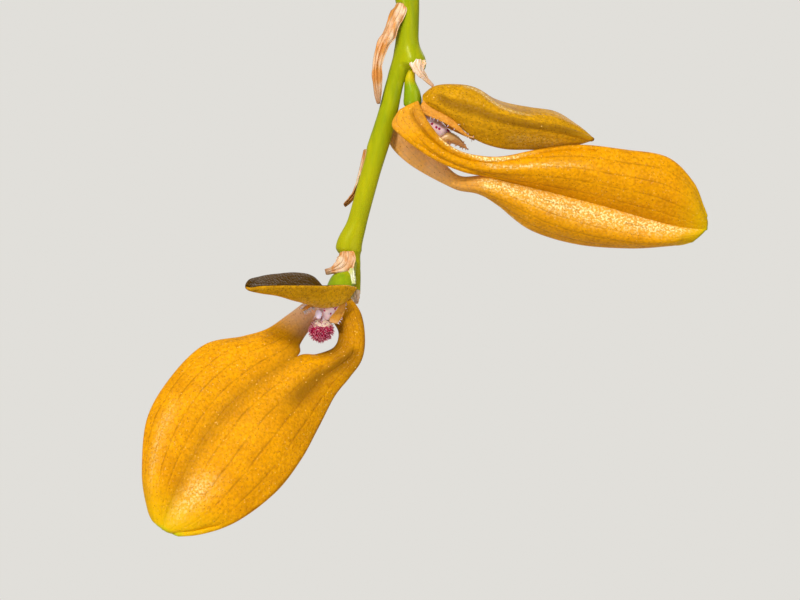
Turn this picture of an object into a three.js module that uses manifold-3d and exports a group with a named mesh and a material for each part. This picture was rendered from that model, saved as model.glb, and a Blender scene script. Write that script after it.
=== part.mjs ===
// A potted orchid, Bulbophyllum refractum, with a hanging spike of hinged yellow flowers.
// Millimetres, +Z up. The origin is the centre of the pot's flat base. The flower stem climbs
// out of the bark, bends sharply over the rim towards -X and hangs, and its flowers face -Y.

import * as THREE from 'three';
import { ConvexGeometry } from 'three/addons/geometries/ConvexGeometry.js';
import { mergeVertices } from 'three/addons/utils/BufferGeometryUtils.js';
import Module from 'manifold-3d';

const wasm = await Module();
wasm.setup();

// Driving dimensions
const GAP = 0.3; // clearance between pieces that grow out of or rest on one another
const CARVE = 0.33; // how far a neighbour is grown before it is cut away, which leaves GAP on its facets
const BLADE = 0.7; // thickness of a sepal or leaf
const PAPER = 0.6; // thickness of a dried bract or petal
const STRAP_CROWN = 0.15; // how far a sepal's narrow foot is crowned, as a share of its width

const POT = {
  height: 86,
  collarBottom: 66,
  baseRadius: 38,
  wallTopRadius: 52.5,
  collarBottomRadius: 56,
  rimRadius: 58,
  floor: 6,
  innerFloorRadius: 34,
  innerRimRadius: 52.5,
  edge: 1.2,
  segments: 40,
  drainRadius: 4,
  drainCircle: 20,
  drainCount: 4,
};

const MIX = { top: 76, chips: 36, chipReach: 49, crown: 84 };

const RHIZOME = { radius: 2.2, height: 76, ringPitch: 3.6, sides: 7 };

// Each pseudobulb: where it sits on the rhizome, its radius and its height, oldest first
const BULBS = [
  { x: -42, y: 11, radius: 6.8, height: 17, turn: 0.4 },
  { x: -25, y: 3, radius: 8.2, height: 21, turn: 1.1 },
  { x: -6, y: -3, radius: 9, height: 23, turn: 2.0 },
  { x: 14, y: -8, radius: 9.2, height: 25, turn: 0.2 },
  { x: 34, y: -11.5, radius: 8.8, height: 24, turn: 1.5 },
  { x: -10, y: 20, radius: 8.4, height: 22, turn: 2.7 },
  { x: 9, y: 26, radius: 9, height: 24, turn: 0.9 },
];
const RING_SWELL = 1.12; // how far the rhizome's rings stand out, as a share of its radius
const BULB_FOOT = RHIZOME.height + RHIZOME.radius * RING_SWELL + GAP;

// Two leaves stand on each leafy bulb: heading is the compass angle that the blade arches towards
const LEAVES = [
  { bulb: 3, heading: -85, lean: 16, arch: 66, length: 92, width: 25, wave: 0.3 },
  { bulb: 3, heading: 158, lean: 12, arch: 40, length: 82, width: 22, wave: 1.7 },
  { bulb: 4, heading: -25, lean: 22, arch: 72, length: 100, width: 27, wave: 2.6 },
  { bulb: 4, heading: 96, lean: 10, arch: 36, length: 88, width: 23, wave: 3.9 },
  { bulb: 6, heading: 78, lean: 20, arch: 64, length: 92, width: 25, wave: 5.1 },
  { bulb: 6, heading: 192, lean: 12, arch: 36, length: 78, width: 21, wave: 0.9 },
];

// The flower stem's centre line from the bark to the tip, with its radius at each point
const STEM = [
  [-9.5, -5.6, 75.4, 1.8],
  [-15, -10.4, 80, 1.8],
  [-17, -12, 94, 1.65],
  [-17.5, -11.2, 124, 1.55],
  [-20, -10, 168, 1.5],
  [-27, -10, 214, 1.5],
  [-42, -10, 252, 1.5],
  [-62, -10, 276, 1.5],
  [-84, -10, 285, 1.55],
  [-98.5, -10, 275, 1.5],
  [-103.6, -10, 255, 1.4],
  [-103.9, -10, 241, 1.4],
  [-103.9, -10, 234, 1.5],
  [-104.3, -10, 228.4, 1.55],
  [-105.6, -10, 224.6, 1.18],
  [-107, -10, 218.7, 1.33],
  [-109, -10, 212, 1.28],
  [-110.8, -10, 205.3, 1.3],
  [-111.6, -10, 201.6, 1.45],
  [-111, -9.9, 199.2, 0.6],
  [-110.8, -9.8, 196.4, 0.42],
];

// Dried bracts in the flowering part: centre line, half width at each point, and the way it faces
const BRACTS = [
  {
    spine: [[-105.3, -12, 235], [-106.3, -12.2, 231.6], [-108, -11.9, 228.1],
      [-108.2, -11.5, 225.2], [-107.9, -11.1, 221.4]],
    halfWidth: [1.3, 1.1, 0.75, 0.68, 0.3],
    facing: [-0.5, -1, 0.1],
  },
  {
    spine: [[-102.6, -11.4, 228], [-102.1, -11.6, 226.2], [-101.3, -11.2, 224.9], [-99.6, -10.6, 223.6]],
    halfWidth: [1.2, 1.1, 0.9, 0.35],
    facing: [0.5, -1, 0.2],
  },
  {
    spine: [[-109.6, -8, 216], [-110.8, -7.7, 212.6], [-111.5, -7.9, 209.9], [-112.8, -8.5, 207.6]],
    halfWidth: [0.8, 0.75, 0.6, 0.32],
    facing: [-1, 0.6, 0],
  },
  {
    spine: [[-112.2, -11.9, 202.2], [-112.9, -13.1, 200.4], [-113.6, -13.9, 199.1], [-114.9, -14.2, 198.4]],
    halfWidth: [1.5, 1.7, 1.3, 0.4],
    facing: [-0.4, -1, 0.6],
  },
  {
    spine: [[-111.4, -10.6, 197.6], [-111.5, -10.9, 195.9], [-111.3, -10.7, 194.4]],
    halfWidth: [0.55, 0.5, 0.3],
    facing: [-0.2, -1, 0.1],
  },
];
// Bare nodes further up, whose flowers have dropped: the place of each, counted in points of the
// stem's line, and the side that its dried bract hangs from
const BARE_NODES = [
  { place: 10.4, side: 1, length: 10 },
  { place: 9.65, side: -1, length: 10 },
  { place: 9, side: 1, length: 11 },
  { place: 8.45, side: -1, length: 11 },
  { place: 7.9, side: 1, length: 12 },
  { place: 7.3, side: -1, length: 12 },
];
// Sheaths on the climbing part of the stem
const SHEATHS = [
  { place: 1.8, side: -1, length: 15 },
  { place: 3.4, side: 1, length: 13 },
  { place: 5, side: -1, length: 12 },
];

// The flowers. Every rail is a line of points in millimetres from the flower's own anchor, from the
// ovary to the tip. The two lateral sepals are free at first, round a hole, and fused from the
// fork on, so that both halves share one seam.
const FLOWERS = [
  {
    name: 'flower_1',
    anchor: [-111.8, -10, 195],
    fork: 5,
    pillow: 1.6,
    left: {
      margin: [[-2.4, -4, 1.3], [-4.2, -4, 0.7], [-5.8, -4, -0.2], [-8.3, -4.3, -2.1], [-11.1, -4.7, -4],
        [-14.5, -5.2, -5.1], [-19.3, -6, -6.1], [-23.4, -8, -10.1], [-26.4, -10.5, -15.5],
        [-26.9, -12.5, -22.3], [-26.1, -14, -27], [-25.3, -14.7, -28.8]],
      inner: [[-1.9, -4.5, -0.2], [-3.2, -4.5, -0.8], [-4.7, -4.5, -1.5], [-5.9, -4.9, -3.9],
        [-6.7, -5.5, -5.9]],
    },
    seam: [[-6.9, -6.5, -7.5], [-11.5, -8.5, -10.6], [-16.1, -11, -14.6], [-19.6, -13, -19.6],
      [-22.4, -14.5, -25], [-23.6, -15, -28], [-24, -15.1, -29.8]],
    right: {
      inner: [[-1.5, -4, -0.4], [-1.5, -4.1, -2.8], [-1.4, -4.3, -4.5], [-2.1, -4.8, -6.3],
        [-4.5, -5.5, -7.3]],
      margin: [[0.1, -3.5, 0.5], [1.6, -3.5, -1.9], [2.1, -4, -5.1], [1.7, -4.5, -8], [0.1, -5, -10.3],
        [-2, -5.5, -12.9], [-4.1, -7, -17], [-6.3, -9.5, -21.1], [-9.5, -12, -25.2],
        [-14.3, -14, -28.8], [-18.6, -15, -30.3], [-22.2, -15.1, -30.6]],
    },
    dorsal: [
      [[1.1, -5.8, 1.7], [-0.5, -7.5, 2.1], [-3.1, -10, 2], [-6, -12.5, 1.8], [-8.7, -14.5, 1.6],
        [-11, -16, 1.8], [-12.5, -16.9, 1.8]],
      [[0, -5.8, 0.4], [-1.4, -6.8, -0.5], [-3.8, -8, -0.7], [-6.6, -10.5, 0.1], [-9.3, -13, 0.9],
        [-11.4, -15, 1.3], [-12.9, -16.6, 1.5]],
      [[-0.8, -5, 0.6], [-3.1, -5, 0.9], [-5, -4.5, 2.8], [-7, -6.5, 3.6], [-9.6, -9.5, 3.4],
        [-11.7, -12, 3.1], [-13.2, -15, 2.5]],
    ],
    ovary: { path: [[0.1, -1.2, 5.6], [-0.2, -2.4, 3.6], [-0.9, -3.6, 1]], radius: [0.9, 1.25, 1.95] },
    column: { path: [[-1.2, -4.3, 0.3], [-2.4, -5.5, -0.8], [-4, -6.6, -2.2]], radius: [0.8, 0.95, 0.95] },
    lip: {
      path: [[-3.3, -5.2, -3.2], [-3.7, -6.4, -4.2], [-4, -7.6, -5]],
      radius: [0.9, 1.6, 0.8],
    },
    petals: {
      petal_left: { path: [[-2.6, -5.6, 0.1], [-4.4, -6.2, -0.3], [-6.2, -6.8, -1.5]],
        halfWidth: [0.7, 0.7, 0.35], facing: [0.2, -1, 0.4] },
      petal_right: { path: [[-1.1, -5.9, -0.9], [-1.2, -6.1, -1.9], [-1.6, -6.5, -3]],
        halfWidth: [0.8, 0.8, 0.35], facing: [0.3, -1, 0.1] },
    },
  },
  {
    name: 'flower_2',
    anchor: [-103.4, -10, 221.7],
    fork: 6,
    pillow: 2.2,
    left: {
      inner: [[0, 1.8, -0.4], [-1.3, 2, -2.3], [-1.7, 1.9, -4.2], [-0.5, 1.6, -5.6], [2.4, 1, -8.1],
        [6.2, -0.2, -10.2]],
      margin: [[-1.5, 2.2, -0.8], [-2.6, 2.4, -3.1], [-3, 2.4, -5.4], [-0.9, 2.2, -7.8],
        [2.2, 1.8, -9.8], [6, 0.8, -11.6], [9, 0, -12.2], [11.5, 0.5, -13.7], [16, 1.5, -17.1],
        [22.4, 2.5, -19], [29.4, 2.5, -19.5], [34.4, 2, -19.2], [36, 1.5, -19.2], [38, 1.1, -18.9]],
    },
    seam: [[10.1, -1.5, -10], [14.6, -0.5, -11.1], [20.7, 0.5, -12.6], [27.1, 1, -14.3],
      [32.5, 1, -15.9], [36.6, 1, -16.9], [38.6, 1, -17.1], [39.7, 1, -17]],
    right: {
      margin: [[0.8, -1.7, 0.1], [1.5, -2.2, -1.5], [2.4, -2.7, -3.1], [3.9, -3.1, -5], [5.9, -3.2, -6.5],
        [8.6, -3, -7.3], [12.2, -2.5, -7.4], [17.2, -1.5, -6.4], [22.7, -0.5, -5.8], [28.8, 0, -6.4],
        [34.5, 0.5, -7.4], [37.9, 1, -10.6], [39.3, 1, -13.8], [39.8, 1, -15.3]],
      inner: [[-1.7, -2.2, -1.2], [-2.7, -2.6, -3.2], [-1.5, -3, -4.7], [0.4, -3.2, -6.2],
        [3, -3.2, -7.9], [6.7, -2.6, -9.4]],
    },
    dorsal: [
      [[1.6, -0.8, -0.4], [3.2, -1.5, -1.3], [5.4, -1.5, -2.4], [8.6, -1, -5.1], [12.2, -0.5, -6.3],
        [16, 0, -6.3], [19.5, 0.2, -6], [22.4, 0.2, -5.8], [24.2, -0.2, -5.7]],
      [[1.5, -1, 0.1], [3, -2.6, 0.1], [5.5, -2.8, -1.2], [8.3, -2.8, -2], [11.8, -2.8, -2.8],
        [15.6, -2.4, -3.2], [19.2, -1.8, -3.8], [22.2, -0.8, -4.5], [24.6, -0.3, -5]],
      [[1.5, -0.5, 0.6], [3.2, -1, 1.8], [5.8, -1.2, 1.9], [8.6, -1.5, 1.4], [11.7, -2, -0.6],
        [15.3, -2, -1.5], [19, -1.5, -2.1], [22, -0.6, -3.1], [24.5, 0.1, -4.5]],
      [[1.6, 0.6, 0.5], [3.6, 2, 1.6], [6.1, 2.5, 1.7], [9.3, 3, 1.7], [12.5, 2.5, 0.7],
        [16, 1.5, -0.4], [19.5, 1, -1.3], [22.3, 0.6, -2.7], [24, 0.8, -4]],
    ],
    ovary: { path: [[-0.5, -0.3, 5.4], [-0.1, -0.3, 3.4], [-0.1, -0.2, 1.6], [-0.2, 0, 0.5]],
      radius: [0.5, 0.65, 0.9, 1.15] },
    column: { path: [[0.6, 0, -1], [1.9, 0, -2.2], [3.4, 0, -3.5], [4.6, 0, -4.3]],
      radius: [0.85, 1.05, 1.15, 0.8] },
    lip: { path: [[1.2, 0.1, -5], [3.2, 0.1, -5.9], [5.2, 0, -5.7], [6.4, 0, -5.6], [7.2, 0, -6.2]],
      radius: [0.5, 0.75, 0.85, 0.65, 0.35] },
    petals: {
      petal_right: { path: [[1.7, -1.9, -1.1], [3.2, -2, -1.8], [4.8, -2, -2.8], [6.3, -2, -3.7],
        [8.5, -1.8, -5]], halfWidth: [0.7, 0.6, 0.5, 0.35, 0.3], facing: [0.1, -1, 0.1] },
      petal_left: { path: [[1.7, 1.9, -1.1], [3.2, 2, -1.8], [4.8, 2, -2.8], [6.3, 2, -3.7],
        [8.5, 1.8, -5]], halfWidth: [0.7, 0.6, 0.5, 0.35, 0.3], facing: [0.1, 1, 0.1] },
    },
  },
];

// Finishes
const finish = (color, roughness) => new THREE.MeshStandardMaterial({ color, roughness, metalness: 0 });
const TERRACOTTA = finish(0xb4643c, 0.9);
const BARK = finish(0x5a3a25, 0.95);
const BULB_GREEN = finish(0x7a8c3a, 0.55);
const RHIZOME_BROWN = finish(0x8a6b45, 0.8);
const LEAF_GREEN = finish(0x4f7d33, 0.45);
const STEM_GREEN = finish(0x96a514, 0.45);
const DRY_PAPER = finish(0xc9a883, 0.8);
const SEPAL_ORANGE = finish(0xe39a10, 0.45);
const DORSAL_OCHRE = finish(0xb8860b, 0.5);
const PETAL_ORANGE = finish(0xd98a3a, 0.5);
const COLUMN_PINK = finish(0xe6c6c8, 0.4);
const LIP_CRIMSON = finish(0xa8324a, 0.6);

const vector = ([x, y, z]) => new THREE.Vector3(x, y, z);
const vectors = (list) => list.map(vector);
const smooth = (points) => new THREE.CatmullRomCurve3(points, false, 'catmullrom', 0.5);
const radians = THREE.MathUtils.degToRad;

// A small seeded source of random numbers from 0 to 1
function seededRandom(seed) {
  let state = seed;
  return () => {
    state = (state + 0x6d2b79f5) | 0;
    let mixed = Math.imul(state ^ (state >>> 15), 1 | state);
    mixed = (mixed + Math.imul(mixed ^ (mixed >>> 7), 61 | mixed)) ^ mixed;
    return ((mixed ^ (mixed >>> 14)) >>> 0) / 4294967296;
  };
}

// A value read off a short list of numbers spread evenly over 0 to 1
function blend(values, u) {
  const place = THREE.MathUtils.clamp(u, 0, 1) * (values.length - 1);
  const lower = Math.min(Math.floor(place), values.length - 2);
  return THREE.MathUtils.lerp(values[lower], values[lower + 1], place - lower);
}

// An indexed geometry with shared vertices and no collapsed faces, pointing outwards
function tidied(geometry) {
  const bare = geometry.clone();
  bare.deleteAttribute('normal');
  bare.deleteAttribute('uv');
  const merged = mergeVertices(bare, 1e-4);
  const position = merged.attributes.position;
  const source = merged.index.array;
  const [a, b, c] = [new THREE.Vector3(), new THREE.Vector3(), new THREE.Vector3()];
  const kept = [];
  let volume = 0;
  for (let i = 0; i < source.length; i += 3) {
    const [ia, ib, ic] = [source[i], source[i + 1], source[i + 2]];
    if (ia !== ib && ib !== ic && ic !== ia) {
      kept.push(ia, ib, ic);
      a.fromBufferAttribute(position, ia);
      b.fromBufferAttribute(position, ib);
      c.fromBufferAttribute(position, ic);
      volume += a.dot(b.cross(c));
    }
  }
  merged.setIndex(volume < 0 ? kept.reverse() : kept);
  merged.computeVertexNormals();
  return merged;
}

// Every vertex moved out along its normal, further on sharp edges so that every face moves out by
// the distance: this makes the room that a neighbour needs
function grown(geometry, distance) {
  const sharpest = 0.5;
  const result = tidied(geometry);
  const position = result.attributes.position;
  const normal = result.attributes.normal;
  const corners = [0, 1, 2].map(() => new THREE.Vector3());
  const [facing, out] = [new THREE.Vector3(), new THREE.Vector3()];
  const share = new Array(position.count).fill(1);
  for (let i = 0; i < result.index.count; i += 3) {
    const face = [0, 1, 2].map((k) => result.index.getX(i + k));
    face.forEach((vertex, k) => corners[k].fromBufferAttribute(position, vertex));
    new THREE.Triangle(...corners).getNormal(facing);
    for (const vertex of face) {
      out.fromBufferAttribute(normal, vertex);
      share[vertex] = Math.min(share[vertex], Math.max(sharpest, out.dot(facing)));
    }
  }
  for (let i = 0; i < position.count; i += 1) {
    corners[0].fromBufferAttribute(position, i);
    out.fromBufferAttribute(normal, i);
    corners[0].addScaledVector(out, distance / share[i]);
    position.setXYZ(i, ...corners[0].toArray());
  }
  return result;
}

function toSolid(geometry) {
  const mesh = tidied(geometry);
  return new wasm.Manifold(new wasm.Mesh({
    numProp: 3,
    vertProperties: new Float32Array(mesh.attributes.position.array),
    triVerts: new Uint32Array(mesh.index.array),
  }));
}

function toGeometry(solid) {
  const mesh = solid.getMesh();
  const geometry = new THREE.BufferGeometry();
  geometry.setAttribute('position', new THREE.BufferAttribute(new Float32Array(mesh.vertProperties), 3));
  geometry.setIndex(new THREE.BufferAttribute(new Uint32Array(mesh.triVerts), 1));
  geometry.computeVertexNormals();
  return geometry;
}

// The biggest body of a solid: cutting a thin blade can leave crumbs, which are dropped
function largestBody(solid) {
  const bodies = solid.decompose();
  return bodies.reduce((best, body) => (body.volume() > best.volume() ? body : best));
}

// A geometry with its neighbours cut away, each grown from its own whole shape to leave a gap
function carved(geometry, ...neighbours) {
  let solid = toSolid(geometry);
  for (const neighbour of neighbours) {
    solid = solid.subtract(toSolid(grown(neighbour, CARVE)));
  }
  return toGeometry(largestBody(solid));
}

// Rows of points from rails: each row crosses all the rails at the same share of their length
function railRows(rails, lengthSteps, widthSteps) {
  const curves = rails.map((rail) => smooth(vectors(rail)));
  const rows = [];
  for (let i = 0; i <= lengthSteps; i += 1) {
    const across = smooth(curves.map((curve) => curve.getPoint(i / lengthSteps)));
    rows.push(Array.from({ length: widthSteps + 1 }, (_, j) => across.getPoint(j / widthSteps)));
  }
  return rows;
}

// One closed blade from sheets of rows that may share an edge: the sheet's points are merged, then
// moved half the thickness each way along their normals, and the open edges are walled
function thickened(sheets, thickness) {
  const points = [];
  const seen = new Map();
  const faces = [];
  const indexOf = (point) => {
    const key = point.toArray().map((c) => Math.round(c * 1000)).join(' ');
    if (!seen.has(key)) {
      seen.set(key, points.length);
      points.push(point.clone());
    }
    return seen.get(key);
  };
  const addFace = (a, b, c) => {
    if (a !== b && b !== c && c !== a) faces.push([a, b, c]);
  };
  for (const rows of sheets) {
    for (let i = 0; i + 1 < rows.length; i += 1) {
      for (let j = 0; j + 1 < rows[i].length; j += 1) {
        const corners = [rows[i][j], rows[i][j + 1], rows[i + 1][j + 1], rows[i + 1][j]].map(indexOf);
        addFace(corners[0], corners[1], corners[2]);
        addFace(corners[0], corners[2], corners[3]);
      }
    }
  }
  const normals = points.map(() => new THREE.Vector3());
  const edges = new Map();
  for (const [a, b, c] of faces) {
    const toB = points[b].clone().sub(points[a]);
    const facing = toB.cross(points[c].clone().sub(points[a]));
    for (const corner of [a, b, c]) normals[corner].add(facing);
    for (const [from, to] of [[a, b], [b, c], [c, a]]) edges.set(`${from} ${to}`, [from, to]);
  }
  normals.forEach((normal) => normal.normalize());
  const count = points.length;
  const front = points.map((p, i) => p.clone().addScaledVector(normals[i], thickness / 2));
  const back = points.map((p, i) => p.clone().addScaledVector(normals[i], -thickness / 2));
  const index = [];
  for (const [a, b, c] of faces) index.push(a, b, c, a + count, c + count, b + count);
  for (const [from, to] of edges.values()) {
    if (!edges.has(`${to} ${from}`)) {
      index.push(to, from, from + count, to, from + count, to + count);
    }
  }
  const geometry = new THREE.BufferGeometry().setFromPoints([...front, ...back]);
  geometry.setIndex(index);
  return geometry;
}

// A closed tube along a curve. radiusAt gives the radius at each share of the curve, squash flattens
// the section across the first direction, and the two ends are closed by flat fans
function tube(curve, radiusAt, steps, sides, squash = 1) {
  const points = [];
  const index = [];
  const side = new THREE.Vector3(0, -1, 0.1);
  for (let i = 0; i <= steps; i += 1) {
    const centre = curve.getPoint(i / steps);
    const tangent = curve.getTangent(i / steps);
    side.addScaledVector(tangent, -side.dot(tangent)).normalize();
    const across = tangent.clone().cross(side);
    for (let j = 0; j < sides; j += 1) {
      const angle = (j / sides) * Math.PI * 2;
      const reach = radiusAt(i / steps, angle);
      points.push(centre.clone()
        .addScaledVector(side, Math.cos(angle) * reach * squash)
        .addScaledVector(across, Math.sin(angle) * reach));
    }
  }
  for (let i = 0; i < steps; i += 1) {
    for (let j = 0; j < sides; j += 1) {
      const [a, b] = [i * sides + j, i * sides + ((j + 1) % sides)];
      index.push(a, b, b + sides, a, b + sides, a + sides);
    }
  }
  const [first, last] = [points.length, points.length + 1];
  points.push(curve.getPoint(0), curve.getPoint(1));
  for (let j = 0; j < sides; j += 1) {
    const next = (j + 1) % sides;
    index.push(first, next, j, last, steps * sides + j, steps * sides + next);
  }
  const geometry = new THREE.BufferGeometry().setFromPoints(points);
  geometry.setIndex(index);
  return geometry;
}

// A solid of revolution about Z from pairs of radius and height
function turned(profile, segments) {
  const outline = profile.map(([radius, height]) => new THREE.Vector2(radius, height));
  return new THREE.LatheGeometry(outline, segments).rotateX(Math.PI / 2);
}

// The clay pot: a tapering wall with a thick collar, worn edges and holes round a solid middle
function potGeometry() {
  const { edge } = POT;
  const body = toSolid(turned([
    [0, 0],
    [POT.baseRadius - edge, 0],
    [POT.baseRadius, edge],
    [POT.wallTopRadius, POT.collarBottom],
    [POT.collarBottomRadius - edge, POT.collarBottom],
    [POT.collarBottomRadius, POT.collarBottom + edge],
    [POT.rimRadius, POT.height - edge],
    [POT.rimRadius - edge, POT.height],
    [POT.innerRimRadius + edge, POT.height],
    [POT.innerRimRadius - 0.2, POT.height - edge],
    [POT.innerFloorRadius + 0.3, POT.floor + edge],
    [POT.innerFloorRadius - edge, POT.floor],
    [0, POT.floor],
  ], POT.segments));
  let pot = body;
  for (let i = 0; i < POT.drainCount; i += 1) {
    const angle = ((i + 0.5) / POT.drainCount) * Math.PI * 2;
    const hole = new THREE.CylinderGeometry(POT.drainRadius, POT.drainRadius, POT.floor * 3, 10)
      .rotateX(Math.PI / 2)
      .translate(Math.cos(angle) * POT.drainCircle, Math.sin(angle) * POT.drainCircle, 0);
    pot = pot.subtract(toSolid(hole));
  }
  return toGeometry(pot);
}

// The bark: a plug that fills the pot, covered with rough chips, cut clear of what grows in it
function mixGeometry(plants) {
  const random = seededRandom(41);
  const inside = (height) => THREE.MathUtils.lerp(
    POT.innerFloorRadius,
    POT.innerRimRadius,
    (height - POT.floor) / (POT.height - POT.floor),
  ) - GAP - 0.35;
  const bottom = POT.floor + GAP;
  const room = toSolid(turned(
    [[0, bottom], [inside(bottom) - 1.4, bottom], [inside(bottom + 1.4), bottom + 1.4],
      [inside(MIX.crown), MIX.crown], [0, MIX.crown]],
    POT.segments,
  ));
  let mix = toSolid(turned(
    [[0, bottom - 1], [POT.rimRadius, bottom - 1], [POT.rimRadius, MIX.top], [0, MIX.top]],
    POT.segments,
  ));
  const goldenAngle = Math.PI * (3 - Math.sqrt(5));
  for (let i = 0; i < MIX.chips; i += 1) {
    const reach = MIX.chipReach * Math.sqrt((i + 0.5) / MIX.chips);
    const angle = i * goldenAngle;
    const half = [4.5 + 3 * random(), 3 + 2 * random(), 1.5 + 1.1 * random()];
    const corners = Array.from({ length: 8 }, (_, k) => new THREE.Vector3(
      half[0] * Math.cos(k * 2.4) * (0.8 + 0.3 * random()),
      half[1] * Math.sin(k * 2.4) * (0.8 + 0.3 * random()),
      half[2] * (k % 2 ? 1 : -1) * (0.75 + 0.3 * random()),
    ));
    const chip = new ConvexGeometry(corners)
      .rotateX((random() - 0.5) * 0.7)
      .rotateY((random() - 0.5) * 0.5)
      .rotateZ(random() * Math.PI)
      .translate(Math.cos(angle) * reach, Math.sin(angle) * reach, MIX.top + 0.3 + random());
    mix = mix.add(toSolid(chip));
  }
  mix = mix.intersect(room);
  for (const plant of plants) mix = mix.subtract(toSolid(grown(plant, CARVE)));
  return toGeometry(largestBody(mix));
}

// One pseudobulb: egg-shaped, drawn in to a neck, with shallow ribs as on a shrunken bulb
function bulbGeometry({ x, y, radius, height, turn }) {
  const profile = [[0, 0], [0.55, 0], [0.86, 0.1], [1, 0.3], [0.93, 0.52], [0.7, 0.76], [0.42, 0.92],
    [0.24, 1], [0, 1.01]];
  const geometry = turned(profile.map(([r, z]) => [r * radius, z * height]), 12);
  const position = geometry.attributes.position;
  for (let i = 0; i < position.count; i += 1) {
    const [px, py, pz] = [position.getX(i), position.getY(i), position.getZ(i)];
    const rib = 1 + 0.055 * Math.cos(4 * Math.atan2(py, px) + turn) * Math.sin((Math.PI * pz) / height);
    position.setXYZ(i, px * rib, py * rib, pz);
  }
  return geometry.translate(x, y, BULB_FOOT);
}

// The ringed rhizome that joins the bulbs, its branch, and wiry roots that run out over the bark,
// as the separate tubes that are joined into one piece
function rhizomeTubes() {
  const random = seededRandom(7);
  const at = (index, dx = 0, dy = 0) => new THREE.Vector3(
    BULBS[index].x + dx,
    BULBS[index].y + dy,
    RHIZOME.height,
  );
  const runs = [
    smooth([at(0, -1, 0.5), at(1), at(2), at(3), at(4), at(4, 7, -1)]),
    smooth([at(1), at(5, -9, -9), at(5), at(6), at(6, 8, 3)]),
  ];
  const tubes = runs.map((run) => {
    const steps = Math.round(run.getLength() / RHIZOME.ringPitch);
    const ringed = (u) => RHIZOME.radius * (Math.round(u * steps) % 2 ? RING_SWELL : 0.9);
    return tube(run, ringed, steps, RHIZOME.sides);
  });
  for (const bulb of BULBS) {
    const heading = Math.atan2(-bulb.y, -bulb.x) + (random() - 0.5) * 3.4;
    const reach = 13 + 9 * random();
    const bend = (random() - 0.5) * 10;
    const point = (share, height, side) => new THREE.Vector3(
      bulb.x + Math.cos(heading) * reach * share - Math.sin(heading) * side,
      bulb.y + Math.sin(heading) * reach * share + Math.cos(heading) * side,
      RHIZOME.height + height,
    );
    const root = smooth([point(0, -0.6, 0), point(0.45, 1.9, bend * 0.3), point(0.8, 1.6, bend),
      point(1.1, -3, bend * 1.3)]);
    tubes.push(tube(root, (u) => 1 - 0.3 * u, 7, 5));
  }
  return tubes;
}

// One leaf: a leathery elliptic blade, folded along its midrib, channelled at the foot, that arches
// over on a circular bend and is gently waved along its edges
function leafGeometry({ bulb, heading, lean, arch, length, width, wave }) {
  const { x, y, height } = BULBS[bulb];
  const foot = new THREE.Vector3(x, y, BULB_FOOT + height * 0.97);
  const outward = new THREE.Vector3(Math.cos(radians(heading)), Math.sin(radians(heading)), 0);
  const across = new THREE.Vector3(-outward.y, outward.x, 0);
  const [start, bend] = [radians(lean), radians(arch)];
  const rows = [];
  const [lengthSteps, widthSteps] = [11, 4];
  for (let i = 0; i <= lengthSteps; i += 1) {
    const s = i / lengthSteps;
    const tilt = start + bend * s;
    const out = 1.3 + (length / bend) * (Math.cos(start) - Math.cos(tilt));
    const rise = (length / bend) * (Math.sin(tilt) - Math.sin(start));
    const middle = foot.clone().addScaledVector(outward, out).add(new THREE.Vector3(0, 0, rise));
    const face = new THREE.Vector3(0, 0, Math.sin(tilt)).addScaledVector(outward, -Math.cos(tilt));
    const full = Math.pow(Math.sin(Math.PI * Math.pow(s, 0.86)), 0.8);
    const half = THREE.MathUtils.lerp(1.6, 0.8, s) + (width / 2 - 1.2) * full;
    const fold = radians(THREE.MathUtils.lerp(48, 14, Math.min(1, s * 2.2)));
    rows.push(Array.from({ length: widthSteps + 1 }, (_, j) => {
      const v = (j / widthSteps) * 2 - 1;
      const ripple = 1.1 * full * v * v * Math.sin(s * 9 + wave + (v > 0 ? 1.3 : 0));
      return middle.clone()
        .addScaledVector(across, v * half * Math.cos(fold))
        .addScaledVector(face, Math.abs(v) * half * Math.sin(fold) + ripple);
    }));
  }
  return thickened([rows], BLADE);
}

const stemCurve = new THREE.CatmullRomCurve3(vectors(STEM), false, 'centripetal');
const stemRadius = (u) => blend(STEM.map((point) => point[3]), u);

// A dried bract or a petal: a pointed strip along a line, turned to face one way and cupped a little
function stripGeometry({ path, halfWidth, facing, cup }, lengthSteps) {
  const curve = smooth(vectors(path));
  const front = vector(facing).normalize();
  const rows = [];
  for (let i = 0; i <= lengthSteps; i += 1) {
    const u = i / lengthSteps;
    const centre = curve.getPoint(u);
    const across = curve.getTangent(u).cross(front).normalize();
    const half = blend(halfWidth, u);
    rows.push([-1, -0.45, 0.45, 1].map((v) => centre.clone()
      .addScaledVector(across, v * half)
      .addScaledVector(front, -cup * half * v * v)));
  }
  return thickened([rows], PAPER);
}

// A bract that hangs from a bare node of the stem, as a strip that starts on the stem's skin
function nodeBract({ place, side, length }) {
  const along = place / (STEM.length - 1);
  const node = stemCurve.getPoint(along);
  const tangent = stemCurve.getTangent(along);
  const out = new THREE.Vector3(-tangent.z, 0.8, tangent.x)
    .multiplyScalar(side)
    .normalize();
  const stand = stemRadius(along) + GAP + PAPER / 2;
  const tip = tangent.clone().multiplyScalar(length);
  const path = [0, 0.35, 0.7, 1].map((share) => node.clone()
    .addScaledVector(out, stand + share * share * length * 0.22)
    .addScaledVector(tip, share)
    .toArray());
  return stripGeometry({ path, halfWidth: [1.7, 1.6, 1, 0.3], facing: out.toArray(), cup: 0.45 }, 5);
}

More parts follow.
